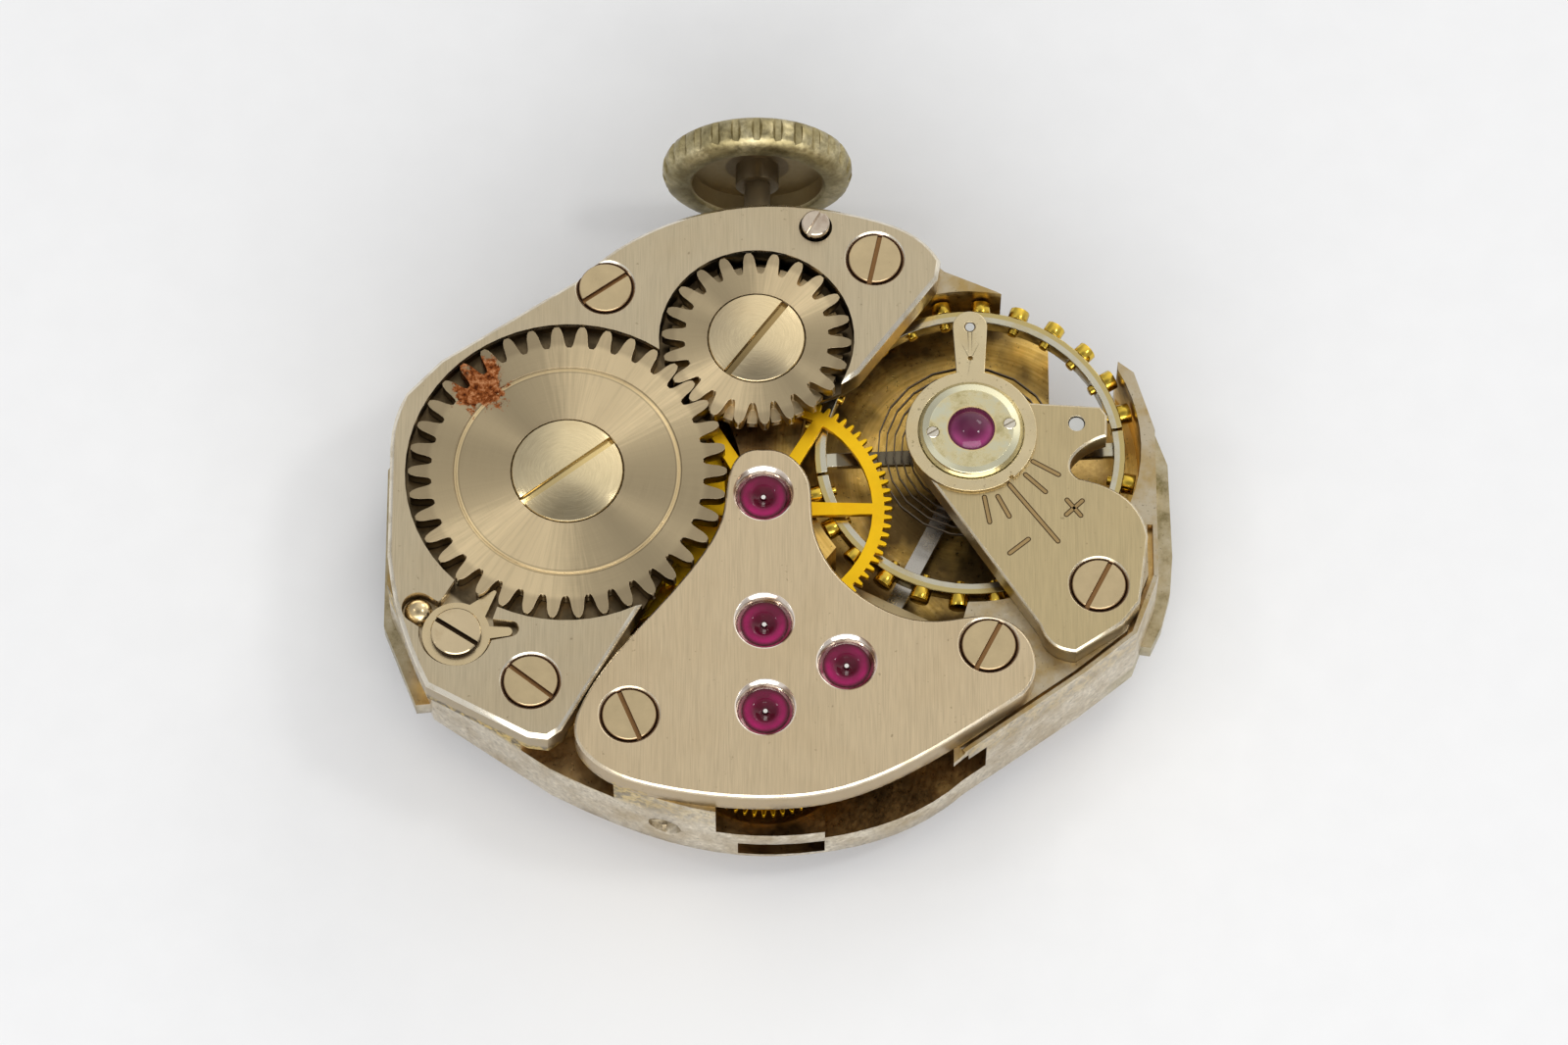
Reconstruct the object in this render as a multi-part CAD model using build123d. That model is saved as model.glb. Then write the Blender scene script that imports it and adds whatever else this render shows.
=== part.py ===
"""A small shaped hand-wound watch movement, bridges up, dial side down.

The origin is on the centre wheel's axis at the dial seat. +Z points from the dial to the bridges, and
the winding stem runs along +Y. All lengths are in millimetres and all angles in degrees.
"""
from build123d import *
import math
import os

# Plate and bridges
plate_width = 17.8
plate_depth = 14.9
plate_floor = 0.9
wall_top = 2.45
flange_top = 0.5
low_wall_top = 1.6
bridge_thickness = 0.75
cock_lift = 0.02
hour_recess = 0.18
works_recess = 0.52
edge_bevel = 0.05
barrel_bevel = 0.09
rim_height = 0.09
groove_drop = 0.22
edge_rim_share = 0.988
edge_groove_share = 0.974
overrun = 0.5

# Fits between pieces
pivot_clearance = 0.015
running_gap = 0.05
wheel_gap = 0.07
seat_gap = 0.02
tooth_gap = 0.03

# Winding train above the barrel bridge
winding_module = 0.179
ratchet_teeth = 38
crown_wheel_teeth = 22
winding_wheel_thickness = 0.36
winding_addendum = 0.175
winding_dedendum = 0.34
ratchet_angle = 172.87
winding_recess = 0.38
ratchet_hub_radius = 1.26
ratchet_hub_height = 0.14
ratchet_groove_radius = 2.5
groove_width = 0.07
groove_depth = 0.025
crown_hub_radius = 1.1
crown_seat_radius = 0.72
crown_face_inner = 1.25
crown_face_height = 0.2
hub_shank_radius = 0.34
hub_shank_length = 0.5

# Going train
barrel_teeth = 72
centre_pinion_leaves = 12
barrel_module = 0.1055
centre_teeth = 80
third_pinion_leaves = 8
centre_module = 0.07045
third_angle = -89.6
third_teeth = 60
fourth_pinion_leaves = 8
third_module = 0.06118
fourth_angle = -89.2
fourth_teeth = 56
escape_pinion_leaves = 7
fourth_module = 0.06664
escape_angle = 31.0
escape_teeth = 15
escape_radius = 1.62
wheel_thickness = 0.15
addendum_share = 1.15
dedendum_share = 1.35
arbor_radius = 0.11
pivot_radius = 0.05
spoke_share = 0.09
rim_share = 0.87
hub_share = 0.16

# Barrel
barrel_bottom = 0.68
barrel_tooth_height = 0.34
barrel_height = 1.3
barrel_wall = 0.16
barrel_drum_inset = 0.26
barrel_cover_thickness = 0.12
barrel_arbor_radius = 0.42
barrel_core_radius = 0.85
barrel_square = 0.52
mainspring_thickness = 0.1
mainspring_turns = 7

# Heights of the train wheels above the dial seat
centre_wheel_level = 2.2
third_wheel_level = 1.78
fourth_wheel_level = 1.46
escape_wheel_level = 1.18
centre_arbor_radius = 0.14

# Balance, escapement and regulator
balance_x = 4.67
balance_y = 1.53
balance_rim_radius = 3.52
balance_rim_width = 0.26
balance_rim_height = 0.4
balance_level = 1.7
balance_cut_width = 0.07
balance_cut_turn = 7.0
balance_arm_width = 0.34
balance_arm_height = 0.16
balance_hub_radius = 0.5
balance_screw_places = 26
balance_screw_sides = 12
balance_screw_radius = 0.23
balance_shank_radius = 0.11
balance_screw_head = 0.27
balance_screw_tip = 0.1
balance_staff_radius = 0.14
roller_radius = 0.52
roller_height = 0.12
impulse_radius = 0.09
impulse_reach = 0.4
hairspring_turns = 10
hairspring_inner = 0.38
hairspring_thickness = 0.03
hairspring_height = 0.1
hairspring_level = 2.12
collet_radius = 0.3
stud_radius = 0.17
pallet_span_share = 1.155
balance_arm_turn = 2.4
pallet_level = 1.12
pallet_thickness = 0.18
pallet_arm_width = 0.3
lever_width = 0.24
fork_notch_width = 0.28
pallet_pivot_radius = 0.045
regulator_radius = 1.48
regulator_thickness = 0.13
regulator_tail_reach = 2.98
regulator_tail_width = 0.78
regulator_neck_width = 0.62
endpiece_radius = 1.18
endpiece_height = 0.24
cap_jewel_radius = 0.53
cap_jewel_rise = 0.12
endpiece_screw_radius = 0.15
endpiece_screw_reach = 0.87
cock_thickness = 0.62

# Winding stem, crown and keyless works
stem_x = -0.16
stem_level = 1.4
stem_radius = 0.3
stem_square = 0.4
stem_inner_end = 3.0
stem_groove_y = 6.45
stem_groove_width = 0.34
stem_groove_radius = 0.17
crown_radius = 2.2
crown_length = 0.8
crown_face_y = 8.6
crown_knurls = 28
crown_knurl_radius = 0.13
crown_boss_radius = 0.5
crown_floor_share = 0.62
stem_travel = 0.4
winding_pinion_radius = 1.12
winding_pinion_teeth = 11
winding_pinion_y = 5.42
winding_pinion_length = 0.75
sliding_pinion_radius = 1.0
sliding_pinion_teeth = 13
sliding_pinion_y = 4.25
sliding_pinion_length = 1.1
sliding_groove_width = 0.34
sliding_groove_radius = 0.72
clutch_tooth_height = 0.1
clutch_teeth = 8
setting_travel = 0.3
lever_thickness = 0.2
lever_level = 0.24
setting_screw_x = 1.18
setting_screw_y = 6.65
setting_screw_radius = 0.24
setting_screw_head = 0.36
setting_button_radius = 0.32
setting_button_rise = 0.24
stud_pin_radius = 0.12
yoke_pivot_x = -2.1
yoke_pivot_y = 5.9
yoke_pin_radius = 0.2
cover_thickness = 0.14

# Motion works under the dial
motion_module = 0.08
hour_module = 0.0768
cannon_teeth = 12
minute_teeth = 36
minute_pinion_leaves = 10
hour_teeth = 40
setting_teeth = 16
motion_thickness = 0.14
minute_level = 0.27
hour_level = 0.03
cannon_radius = 0.3
cannon_pipe_radius = 0.46
cannon_reach = 1.05
hour_pipe_radius = 0.64
hour_pipe_reach = 0.6
setting_wheel_y = 3.2

# Screws and jewels
screw_head_radius = 0.6
screw_head_height = 0.26
screw_shank_radius = 0.27
screw_length = 1.1
screw_sink = 0.07
slot_width = 0.11
slot_depth = 0.1
hub_slot_width = 0.19
jewel_radius = 0.52
jewel_height = 0.36
jewel_sink_radius = 0.66
jewel_sink_depth = 0.2
oil_cup_radius = 0.26
oil_cup_depth = 0.1
plate_jewel_radius = 0.4
click_x = -6.82
click_y = -3.36
click_radius = 0.76
click_thickness = 0.18
click_screw_radius = 0.56
click_recess = 0.36
click_beak_angle = 50.5
click_tail_angle = 3.0
dial_screw_x = -2.2
dial_screw_radius = 0.36
dial_foot_radius = 0.4
dial_foot_depth = 0.6

# Outlines as shares of the plate's width and depth, each run starting where the last one ends
plate_outline_shares = [
    ("line", [(-0.473, 0.107), (-0.473, -0.128), (-0.418, -0.279), (-0.268, -0.402)]),
    ("curve", [(-0.194, -0.445), (-0.104, -0.483), (-0.023, -0.500), (0.087, -0.493),
               (0.154, -0.472), (0.251, -0.402)]),
    ("line", [(0.399, -0.276), (0.468, -0.209), (0.497, -0.115), (0.497, 0.128), (0.472, 0.224),
              (0.382, 0.307), (0.298, 0.361), (0.232, 0.395)]),
    ("curve", [(0.129, 0.470), (0.000, 0.494), (-0.112, 0.468), (-0.238, 0.366)]),
    ("line", [(-0.410, 0.232), (-0.473, 0.107)]),
]
flange_shares = [
    ("line", [(-0.483, 0.120), (-0.483, -0.140), (-0.440, -0.270), (0.470, -0.172), (0.492, -0.176)]),
    ("line", [(0.506, -0.140), (0.518, -0.085), (0.522, -0.025), (0.519, 0.128), (0.489, 0.228)]),
    ("line", [(0.449, 0.262), (-0.420, 0.230)]),
    ("line", [(-0.483, 0.120)]),
]
barrel_bridge_shares = [
    ("line", [(-0.471, 0.081), (-0.471, -0.101)]),
    ("curve", [(-0.455, -0.201), (-0.419, -0.312)]),
    ("line", [(-0.292, -0.393), (-0.267, -0.397), (-0.250, -0.383), (-0.154, -0.185)]),
    ("curve", [(-0.124, -0.124), (-0.084, -0.027), (-0.073, 0.060), (-0.073, 0.128)]),
    ("curve", [(-0.050, 0.160), (0.000, 0.158), (0.056, 0.165), (0.121, 0.201)]),
    ("line", [(0.222, 0.359), (0.226, 0.390)]),
    ("curve", [(0.191, 0.436), (0.129, 0.466), (0.000, 0.487), (-0.112, 0.460), (-0.236, 0.359)]),
    ("line", [(-0.410, 0.222), (-0.452, 0.168)]),
    ("curve", [(-0.466, 0.125), (-0.471, 0.081)]),
]
train_bridge_shares = [
    ("curve", [(0.000, 0.073), (-0.034, 0.058), (-0.045, 0.022), (-0.051, -0.034), (-0.076, -0.098),
               (-0.157, -0.221), (-0.231, -0.358)]),
    ("curve", [(-0.230, -0.403), (-0.202, -0.440), (-0.124, -0.475), (0.000, -0.491), (0.084, -0.481),
               (0.195, -0.425), (0.322, -0.326)]),
    ("curve", [(0.339, -0.286), (0.329, -0.234), (0.298, -0.204), (0.265, -0.200), (0.225, -0.207),
               (0.180, -0.203), (0.135, -0.178), (0.096, -0.138), (0.073, -0.094), (0.061, -0.034),
               (0.058, 0.018), (0.038, 0.058), (0.000, 0.073)]),
]
cock_shares = [
    ("line", [(0.192, 0.060), (0.345, -0.212)]),
    ("curve", [(0.358, -0.240), (0.390, -0.255)]),
    ("line", [(0.449, -0.208), (0.471, -0.174), (0.483, -0.067)]),
    ("curve", [(0.475, -0.034), (0.398, 0.028)]),
    ("curve", [(0.387, 0.052), (0.398, 0.074), (0.434, 0.098)]),
    ("line", [(0.435, 0.133), (0.427, 0.147), (0.337, 0.154)]),
    ("curve", [(0.261, 0.185), (0.200, 0.140), (0.192, 0.060)]),
]
fourth_window_shares = [(-0.059, -0.400), (0.090, -0.400), (0.090, -0.540), (-0.059, -0.540)]
front_slot_shares = [(-0.032, -0.452), (0.077, -0.452), (0.077, -0.540), (-0.032, -0.540)]
case_notch_shares = [(0.367, 0.200), (0.367, 0.420), (0.452, 0.420), (0.452, 0.200)]
rim_line_shares = [(0.251, -0.402), (0.399, -0.276), (0.468, -0.209), (0.497, -0.115), (0.497, -0.030)]
escape_window_left_share = 0.077
escape_window_back_share = -0.330
escape_window_front_share = -0.540
escape_window_step_shares = [(0.00, 0.69, 0.279), (0.69, 0.86, 0.256), (0.86, 1.30, 0.237)]
barrel_screw_shares = [(-0.289, -0.305), (-0.202, 0.344), (0.142, 0.393)]
barrel_screw_slots = (-38.0, 35.0, 78.0)
train_screw_shares = [(-0.166, -0.359), (0.281, -0.247)]
train_screw_slots = (-67.0, 63.0)
cock_screw_share = (0.420, -0.146)
cock_screw_slot = 63.0
foot_shares = [(-0.333, -0.270), (0.300, 0.290)]
low_wall_shares = [(-0.305, -0.540), (-0.186, -0.540), (-0.186, -0.400), (-0.225, -0.330), (-0.268, -0.338),
                   (-0.305, -0.375)]
stud_hole_share = (0.396, 0.119)
works_middle_share = 0.336
works_length_share = 0.25

# A winding wheel's tooth: height as a share of its part above or below the pitch circle, width of a pitch
winding_tooth_shares = [(-1.00, 0.82), (-0.84, 0.68), (-0.48, 0.57), (0.00, 0.47), (0.62, 0.34), (1.00, 0.17)]

# The crown's section from its hollow to its axis, as shares of its radius and length
crown_section_shares = [(0.69, 0.10), (0.72, 0.00), (0.82, 0.00), (0.91, 0.07), (0.97, 0.21), (1.00, 0.44),
                        (0.995, 0.66), (0.965, 0.84), (0.91, 0.95), (0.83, 1.00), (0.00, 1.00), (0.00, 0.62),
                        (0.69, 0.62)]

# Places worked out from the sizes above
bridge_top = wall_top + bridge_thickness
click_height = bridge_top - click_recess


def polar(distance, angle):
    return distance * math.cos(math.radians(angle)), distance * math.sin(math.radians(angle))


def mesh_distance(module, teeth, leaves):
    return module * (teeth + leaves) / 2


def shift(start, step):
    return start[0] + step[0], start[1] + step[1]


def meet(first, first_radius, second, second_radius):
    """The point at both given distances from two points, right of the line from first to second."""
    dx, dy = second[0] - first[0], second[1] - first[1]
    span = math.hypot(dx, dy)
    along = (first_radius**2 - second_radius**2 + span**2) / (2 * span)
    across = math.sqrt(first_radius**2 - along**2)
    return (first[0] + (along * dx + across * dy) / span, first[1] + (along * dy - across * dx) / span)


def mesh_turn(first, first_teeth, first_turn, second, second_teeth):
    """The turn that sets a tooth of the second wheel in a gap of the first."""
    line = math.degrees(math.atan2(second[1] - first[1], second[0] - first[0]))
    pitches = (first_turn - line) * first_teeth / 360
    return line + 180 + (1 / 2 - pitches) * 360 / second_teeth


centre = (0, 0)
barrel = polar(mesh_distance(barrel_module, barrel_teeth, centre_pinion_leaves), ratchet_angle)
third = shift(centre, polar(mesh_distance(centre_module, centre_teeth, third_pinion_leaves), third_angle))
fourth = shift(third, polar(mesh_distance(third_module, third_teeth, fourth_pinion_leaves), fourth_angle))
escape = shift(fourth, polar(mesh_distance(fourth_module, fourth_teeth, escape_pinion_leaves), escape_angle))
balance = (balance_x, balance_y)
pallet_distance = escape_radius * pallet_span_share
escape_to_balance = math.hypot(balance[0] - escape[0], balance[1] - escape[1])
lever_angle = math.degrees(math.atan2(balance[1] - escape[1], balance[0] - escape[0]))
pallet = shift(escape, polar(pallet_distance, lever_angle))
winding_distance = mesh_distance(winding_module, ratchet_teeth, crown_wheel_teeth)
crown_axis = (stem_x, barrel[1] + math.sqrt(winding_distance**2 - (stem_x - barrel[0])**2))
setting = (stem_x, setting_wheel_y)
minute_distance = mesh_distance(motion_module, cannon_teeth, minute_teeth)
minute = meet(centre, minute_distance, setting, mesh_distance(motion_module, setting_teeth, minute_teeth))


def place(share):
    return share[0] * plate_width, share[1] * plate_depth


def outline(runs):
    """A closed face from runs of shares, straight in a line run and smooth in a curve run."""
    edges = []
    last = None
    for kind, shares in runs:
        points = [place(share) for share in shares]
        if last is not None:
            points.insert(0, last)
        last = points[-1]
        path = Spline(*points) if kind == "curve" else Polyline(*points)
        edges += path.edges()
    return Face(Wire(edges))


def polygon(points):
    return make_face(Polyline(*points, close=True))


def prism(face, low, high):
    return extrude(Pos(0, 0, low) * face, amount=high - low, dir=(0, 0, 1))


def disc(at, radius, low, high):
    return Pos(at[0], at[1], low) * Cylinder(radius, high - low, align=(Align.CENTER, Align.CENTER, Align.MIN))


def cone(at, low_radius, high_radius, low, high):
    body = Cone(low_radius, high_radius, high - low, align=(Align.CENTER, Align.CENTER, Align.MIN))
    return Pos(at[0], at[1], low) * body


def ring(at, inner, outer, low, high):
    return disc(at, outer, low, high) - disc(at, inner, low - overrun, high + overrun)


def bar(at, length, width, low, high, angle=0):
    """A block centred on a point in plan and turned about Z."""
    block = Box(length, width, high - low, align=(Align.CENTER, Align.CENTER, Align.MIN))
    return Pos(at[0], at[1], low) * Rot(0, 0, angle) * block


def link(first, first_radius, second, second_radius):
    """A flat lever outline round two circles."""
    circles = (Pos(*first) * Circle(first_radius)).edges() + (Pos(*second) * Circle(second_radius)).edges()
    return make_hull(circles)


def gear_face(teeth, module, addendum, dedendum, tip_share=0.2, root_share=0.56, turn=0):
    """A toothed outline with straight flanks. A tooth points along +X before the turn."""
    pitch_radius = module * teeth / 2
    tip = pitch_radius + addendum
    root = pitch_radius - dedendum
    pitch_angle = 360 / teeth
    points = []
    for tooth in range(teeth):
        middle = turn + tooth * pitch_angle
        points.append(polar(root, middle - pitch_angle * root_share / 2))
        points.append(polar(tip - addendum / 3, middle - pitch_angle * (tip_share + 0.12) / 2))
        points.append(polar(tip, middle - pitch_angle * tip_share / 3))
        points.append(polar(tip, middle + pitch_angle * tip_share / 3))
        points.append(polar(tip - addendum / 3, middle + pitch_angle * (tip_share + 0.12) / 2))
        points.append(polar(root, middle + pitch_angle * root_share / 2))
    return polygon(points)


def train_gear(teeth, module, turn=0):
    return gear_face(teeth, module, module * addendum_share, module * dedendum_share, turn=turn)


def spoked_wheel(at, teeth, module, level, spokes, turn=0, hub_extra=0):
    """A thin train wheel with tapered spokes. Its first spoke points along +X."""
    face = train_gear(teeth, module, turn)
    radius = module * teeth / 2
    inner = radius * rim_share
    hub = radius * hub_share + hub_extra
    opening = Circle(inner) - Circle(hub)
    narrow = radius * spoke_share / 2
    for spoke in range(spokes):
        arm = polygon([(0, -narrow * 1.5), (inner * 1.1, -narrow), (inner * 1.1, narrow), (0, narrow * 1.5)])
        opening -= Rot(0, 0, spoke * 360 / spokes) * arm
    wheel = prism(face - opening, level, level + wheel_thickness)
    return Pos(at[0], at[1], 0) * wheel - disc(at, arbor_radius, level - overrun, level + wheel_thickness + overrun)


def pinion(at, leaves, module, low, high, turn=0):
    face = gear_face(leaves, module, module * addendum_share, module * dedendum_share, 0.16, 0.5, turn)
    return Pos(at[0], at[1], 0) * prism(face, low, high)


def arbor(at, low, high, radius=arbor_radius, pivot=pivot_radius, pivot_length=0.25):
    """A shaft with a thinner pivot at each end."""
    shaft = disc(at, radius, low + pivot_length, high - pivot_length)
    return shaft + disc(at, pivot, low, low + pivot_length) + disc(at, pivot, high - pivot_length, high)


def slotted_head(at, radius, low, high, width, depth, angle):
    head = disc(at, radius, low, high)
    head = chamfer(head.edges().group_by(Axis.Z)[-1], edge_bevel / 2)
    return head - bar(at, radius * 2 + overrun, width, high - depth, high + overrun, angle)


def bridge_screw(at, top, angle):
    head_low = top - screw_head_height
    head = slotted_head(at, screw_head_radius, head_low, top, slot_width, slot_depth, angle)
    return head + disc(at, screw_shank_radius, head_low - screw_length, head_low)


def screw_well(at, top):
    """What a screw takes out of its bridge: clearance hole, head seat and bevelled rim."""
    low = top - screw_head_height
    well = disc(at, screw_shank_radius + pivot_clearance, low - screw_length - overrun, low + overrun)
    well += disc(at, screw_head_radius + seat_gap, low, top + overrun)
    rim = screw_head_radius + seat_gap
    return well + cone(at, rim, rim + screw_sink * 2, top - screw_sink, top + screw_sink)


def tapped_hole(at, top):
    low = top - screw_head_height - screw_length - running_gap
    return disc(at, screw_shank_radius + pivot_clearance, low, wall_top + overrun)


def jewel_well(at, top):
    """The polished sink and bore that hold a jewel in a bridge, with the bore open below."""
    bore = disc(at, jewel_radius, top - jewel_sink_depth - jewel_height, top + overrun)
    sink = cone(at, jewel_radius, jewel_sink_radius + jewel_sink_radius - jewel_radius,
                top - jewel_sink_depth, top + jewel_sink_depth)
    through = disc(at, arbor_radius + wheel_gap, wall_top - overrun, top)
    return bore + sink + through


def jewel(at, top):
    stone = disc(at, jewel_radius, top - jewel_height, top)
    stone -= cone(at, pivot_radius, oil_cup_radius + oil_cup_radius, top - oil_cup_depth, top + oil_cup_depth)
    return stone - disc(at, pivot_radius + pivot_clearance, top - jewel_height - overrun, top + overrun)


def plate_jewel(at, top):
    stone = disc(at, plate_jewel_radius, top - jewel_height, top)
    return stone - disc(at, pivot_radius + pivot_clearance, top - jewel_height - overrun, top + overrun)


train_screws = [place(share) for share in train_screw_shares]
barrel_screws = [place(share) for share in barrel_screw_shares]
cock_screw = place(cock_screw_share)
barrel_radius = barrel_module * barrel_teeth / 2
barrel_turn = ratchet_angle + 180
barrel_tip = barrel_radius + barrel_module * addendum_share
drum_radius = barrel_radius - barrel_drum_inset
ratchet_tip = winding_module * ratchet_teeth / 2 + winding_addendum
crown_wheel_tip = winding_module * crown_wheel_teeth / 2 + winding_addendum
centre_tip = centre_module * (centre_teeth / 2 + addendum_share)
third_tip = third_module * (third_teeth / 2 + addendum_share)
fourth_tip = fourth_module * (fourth_teeth / 2 + addendum_share)
pocket_floor = barrel_bottom - wheel_gap
winding_floor = bridge_top - winding_recess
lower_jewel_top = plate_floor - seat_gap
cock_top = wall_top + cock_lift + cock_thickness
stud_place = place(stud_hole_share)
stud_distance = math.hypot(stud_place[0] - balance[0], stud_place[1] - balance[1])
stud_angle = math.degrees(math.atan2(stud_place[1] - balance[1], stud_place[0] - balance[0]))
hairspring_outer = stud_distance - stud_radius - hairspring_thickness - seat_gap


def stem_bore(radius, low, high, at_x=stem_x, level=stem_level):
    """A cylinder along the stem's line, from one Y to another."""
    rod = Cylinder(radius, high - low, align=(Align.CENTER, Align.CENTER, Align.MIN))
    return Pos(at_x, low, level) * Rot(-90, 0, 0) * rod


def works_pocket():
    """The dial-side recess for the keyless works and motion works."""
    low, high = -overrun, works_recess
    half = winding_pinion_radius + wheel_gap
    room = bar((stem_x, works_middle_share * plate_depth), half * 2, works_length_share * plate_depth, low, high)
    room += prism(link((yoke_pivot_x, yoke_pivot_y), yoke_pin_radius * 2.4, (stem_x, yoke_pivot_y), half), low, high)
    groove_y = sliding_pinion_y + sliding_pinion_length / 2 - setting_travel
    room += prism(link((yoke_pivot_x, yoke_pivot_y), yoke_pin_radius * 2.4,
                       (stem_x - sliding_pinion_radius, groove_y), sliding_groove_width), low, high)
    room += prism(link((setting_screw_x, setting_screw_y), setting_screw_head + wheel_gap * 3,
                       (stem_x, stem_groove_y + stem_travel / 2), half * 0.5), low, high)
    room += prism(link((stem_x, stem_groove_y + stem_travel / 2), half * 0.5, (setting_beak_x, stem_groove_y
                       + stem_travel), stud_pin_radius * 1.8), low, high)
    minute_tip = motion_module * (minute_teeth / 2 + addendum_share)
    setting_tip = motion_module * (setting_teeth / 2 + addendum_share)
    cannon_tip = motion_module * (cannon_teeth / 2 + addendum_share)
    room += disc(minute, minute_tip + wheel_gap, low, high)
    room += disc(setting, setting_tip + wheel_gap, low, high)
    room += disc(centre, cannon_tip + running_gap, low, high)
    hour_tip = hour_module * (hour_teeth / 2 + addendum_share)
    return room + disc(centre, hour_tip + wheel_gap, low, hour_recess)


pallet_foot_reach = pallet_distance * 0.68
setting_beak_x = stem_x - stem_radius * 1.7


def train_pocket():
    """The room for the wheels that the train bridge covers."""
    third_gap = third_tip + wheel_gap
    room = disc(third, third_gap, third_wheel_level - wheel_gap, wall_top + overrun)
    room += disc(third, third_gap * 0.5, plate_floor, wall_top + overrun)
    room += disc(fourth, fourth_tip + wheel_gap, plate_floor, wall_top + overrun)
    room += disc(escape, escape_radius + wheel_gap * 2, plate_floor, wall_top + overrun)
    room += prism(link(pallet, pallet_foot_reach + pallet_distance * 0.28, balance, pallet_distance * 0.5),
                  plate_floor, wall_top + overrun)
    for low_share, high_share, right in escape_window_step_shares:
        rise = wall_top - plate_floor
        corners = [(escape_window_left_share, escape_window_back_share), (right, escape_window_back_share),
                   (right, escape_window_front_share), (escape_window_left_share, escape_window_front_share)]
        room += prism(polygon([place(share) for share in corners]), plate_floor + rise * low_share,
                      plate_floor + rise * high_share)
    room += prism(polygon([place(share) for share in fourth_window_shares]), fourth_wheel_level - wheel_gap * 3,
                  wall_top + overrun)
    return room


def main_plate():
    plate = prism(outline(plate_outline_shares), 0, wall_top)
    plate += prism(outline(flange_shares), 0, flange_top)
    plate -= seat_groove()
    plate -= disc(barrel, barrel_tip + running_gap, pocket_floor, wall_top + overrun)
    balance_room = balance_rim_radius + balance_screw_head + wheel_gap
    plate -= disc(balance, balance_room, plate_floor, wall_top + overrun)
    plate -= disc(centre, centre_tip + wheel_gap, centre_wheel_level - wheel_gap, wall_top + overrun)
    pinion_tip = barrel_module * (centre_pinion_leaves / 2 + addendum_share)
    plate -= disc(centre, pinion_tip + running_gap, pocket_floor, wall_top + overrun)
    plate -= train_pocket()
    plate -= works_pocket()
    half = winding_pinion_radius + wheel_gap
    channel_low = stem_inner_end + stem_radius
    channel_high = winding_pinion_y + winding_pinion_length + running_gap
    plate -= bar((stem_x, (channel_low + channel_high) / 2), half * 2, channel_high - channel_low,
                 works_recess - overrun, wall_top + overrun)
    plate -= stem_bore(stem_radius + pivot_clearance, stem_inner_end - overrun, plate_depth)
    plate -= bar((stem_x, stem_groove_y + stem_travel / 2), stud_pin_radius * 2 + wheel_gap * 2,
                 stem_travel + stud_pin_radius * 2 + wheel_gap * 2, 0, stem_level)
    plate -= disc((setting_screw_x, setting_screw_y), setting_screw_radius + seat_gap, 0, wall_top + overrun)
    plate -= prism(polygon([place(share) for share in case_notch_shares]), -overrun, wall_top + overrun)
    plate -= prism(polygon([place(share) for share in front_slot_shares]), plate_floor * 0.13, plate_floor * 0.8)
    plate -= prism(polygon([place(share) for share in low_wall_shares]), low_wall_top, wall_top + overrun)
    for at, top in [(p, bridge_top) for p in barrel_screws + train_screws] + [(cock_screw, cock_top)]:
        plate -= tapped_hole(at, top)
    for at in (third, fourth, escape, pallet, balance):
        plate -= disc(at, plate_jewel_radius, lower_jewel_top - jewel_height, plate_floor + overrun)
        plate -= disc(at, arbor_radius, -overrun, plate_floor)
    plate -= disc(centre, centre_arbor_radius + pivot_clearance, -overrun, plate_floor + overrun)
    plate -= disc(barrel, barrel_arbor_radius / 2 + pivot_clearance, -overrun, plate_floor + overrun)
    for share in foot_shares:
        plate -= disc(place(share), dial_foot_radius, -overrun, dial_foot_depth)
    return plate - dial_screw_bore() + seat_rim()


def rim_band(inner_share, outer_share, low, high):
    """A strip along the plate's edge by the balance cock's foot, between two scaled lines."""
    edge = [place(share) for share in rim_line_shares]
    outer = [(x * outer_share, y * outer_share) for x, y in edge]
    inner = [(x * inner_share, y * inner_share) for x, y in edge]
    return prism(polygon(outer + inner[::-1]), low, high)


def seat_rim():
    """The thin raised rim outside the cock and the train bridge."""
    return rim_band(edge_rim_share, 1, wall_top - rim_height, wall_top + rim_height)


def seat_groove():
    return rim_band(edge_groove_share, edge_rim_share, wall_top - groove_drop, wall_top + overrun)


def dial_screw_bore():
    bore = Cylinder(dial_screw_radius, plate_depth, align=(Align.CENTER, Align.CENTER, Align.MIN))
    edge = -plate_depth / 2 + dial_screw_radius * 3
    return Pos(dial_screw_x, edge, plate_floor) * Rot(90, 0, 0) * bore


def barrel_bridge():
    bridge = prism(outline(barrel_bridge_shares), wall_top, bridge_top)
    bridge = chamfer(bridge.edges().group_by(Axis.Z)[-1], barrel_bevel)
    bridge -= disc(barrel, ratchet_tip + wheel_gap, winding_floor, bridge_top + overrun)
    bridge -= disc(crown_axis, crown_wheel_tip + wheel_gap, winding_floor, bridge_top + overrun)
    face_low = winding_floor - crown_face_height - seat_gap
    bridge -= ring(crown_axis, crown_face_inner - wheel_gap, crown_wheel_tip + wheel_gap, face_low, bridge_top)
    pinion_y = winding_pinion_y + winding_pinion_length / 2
    bridge -= bar((stem_x, pinion_y), winding_pinion_radius * 1.6, winding_pinion_length + wheel_gap * 2,
                  wall_top - overrun, face_low + overrun)
    bridge -= disc(barrel, barrel_arbor_radius + pivot_clearance, wall_top - overrun, bridge_top)
    bridge -= disc(crown_axis, hub_shank_radius + pivot_clearance, wall_top - overrun, bridge_top)
    bridge -= click_room()
    for at in barrel_screws:
        bridge -= screw_well(at, bridge_top)
    return bridge - disc((setting_screw_x, setting_screw_y), setting_screw_head + seat_gap, 0, bridge_top + overrun)


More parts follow.
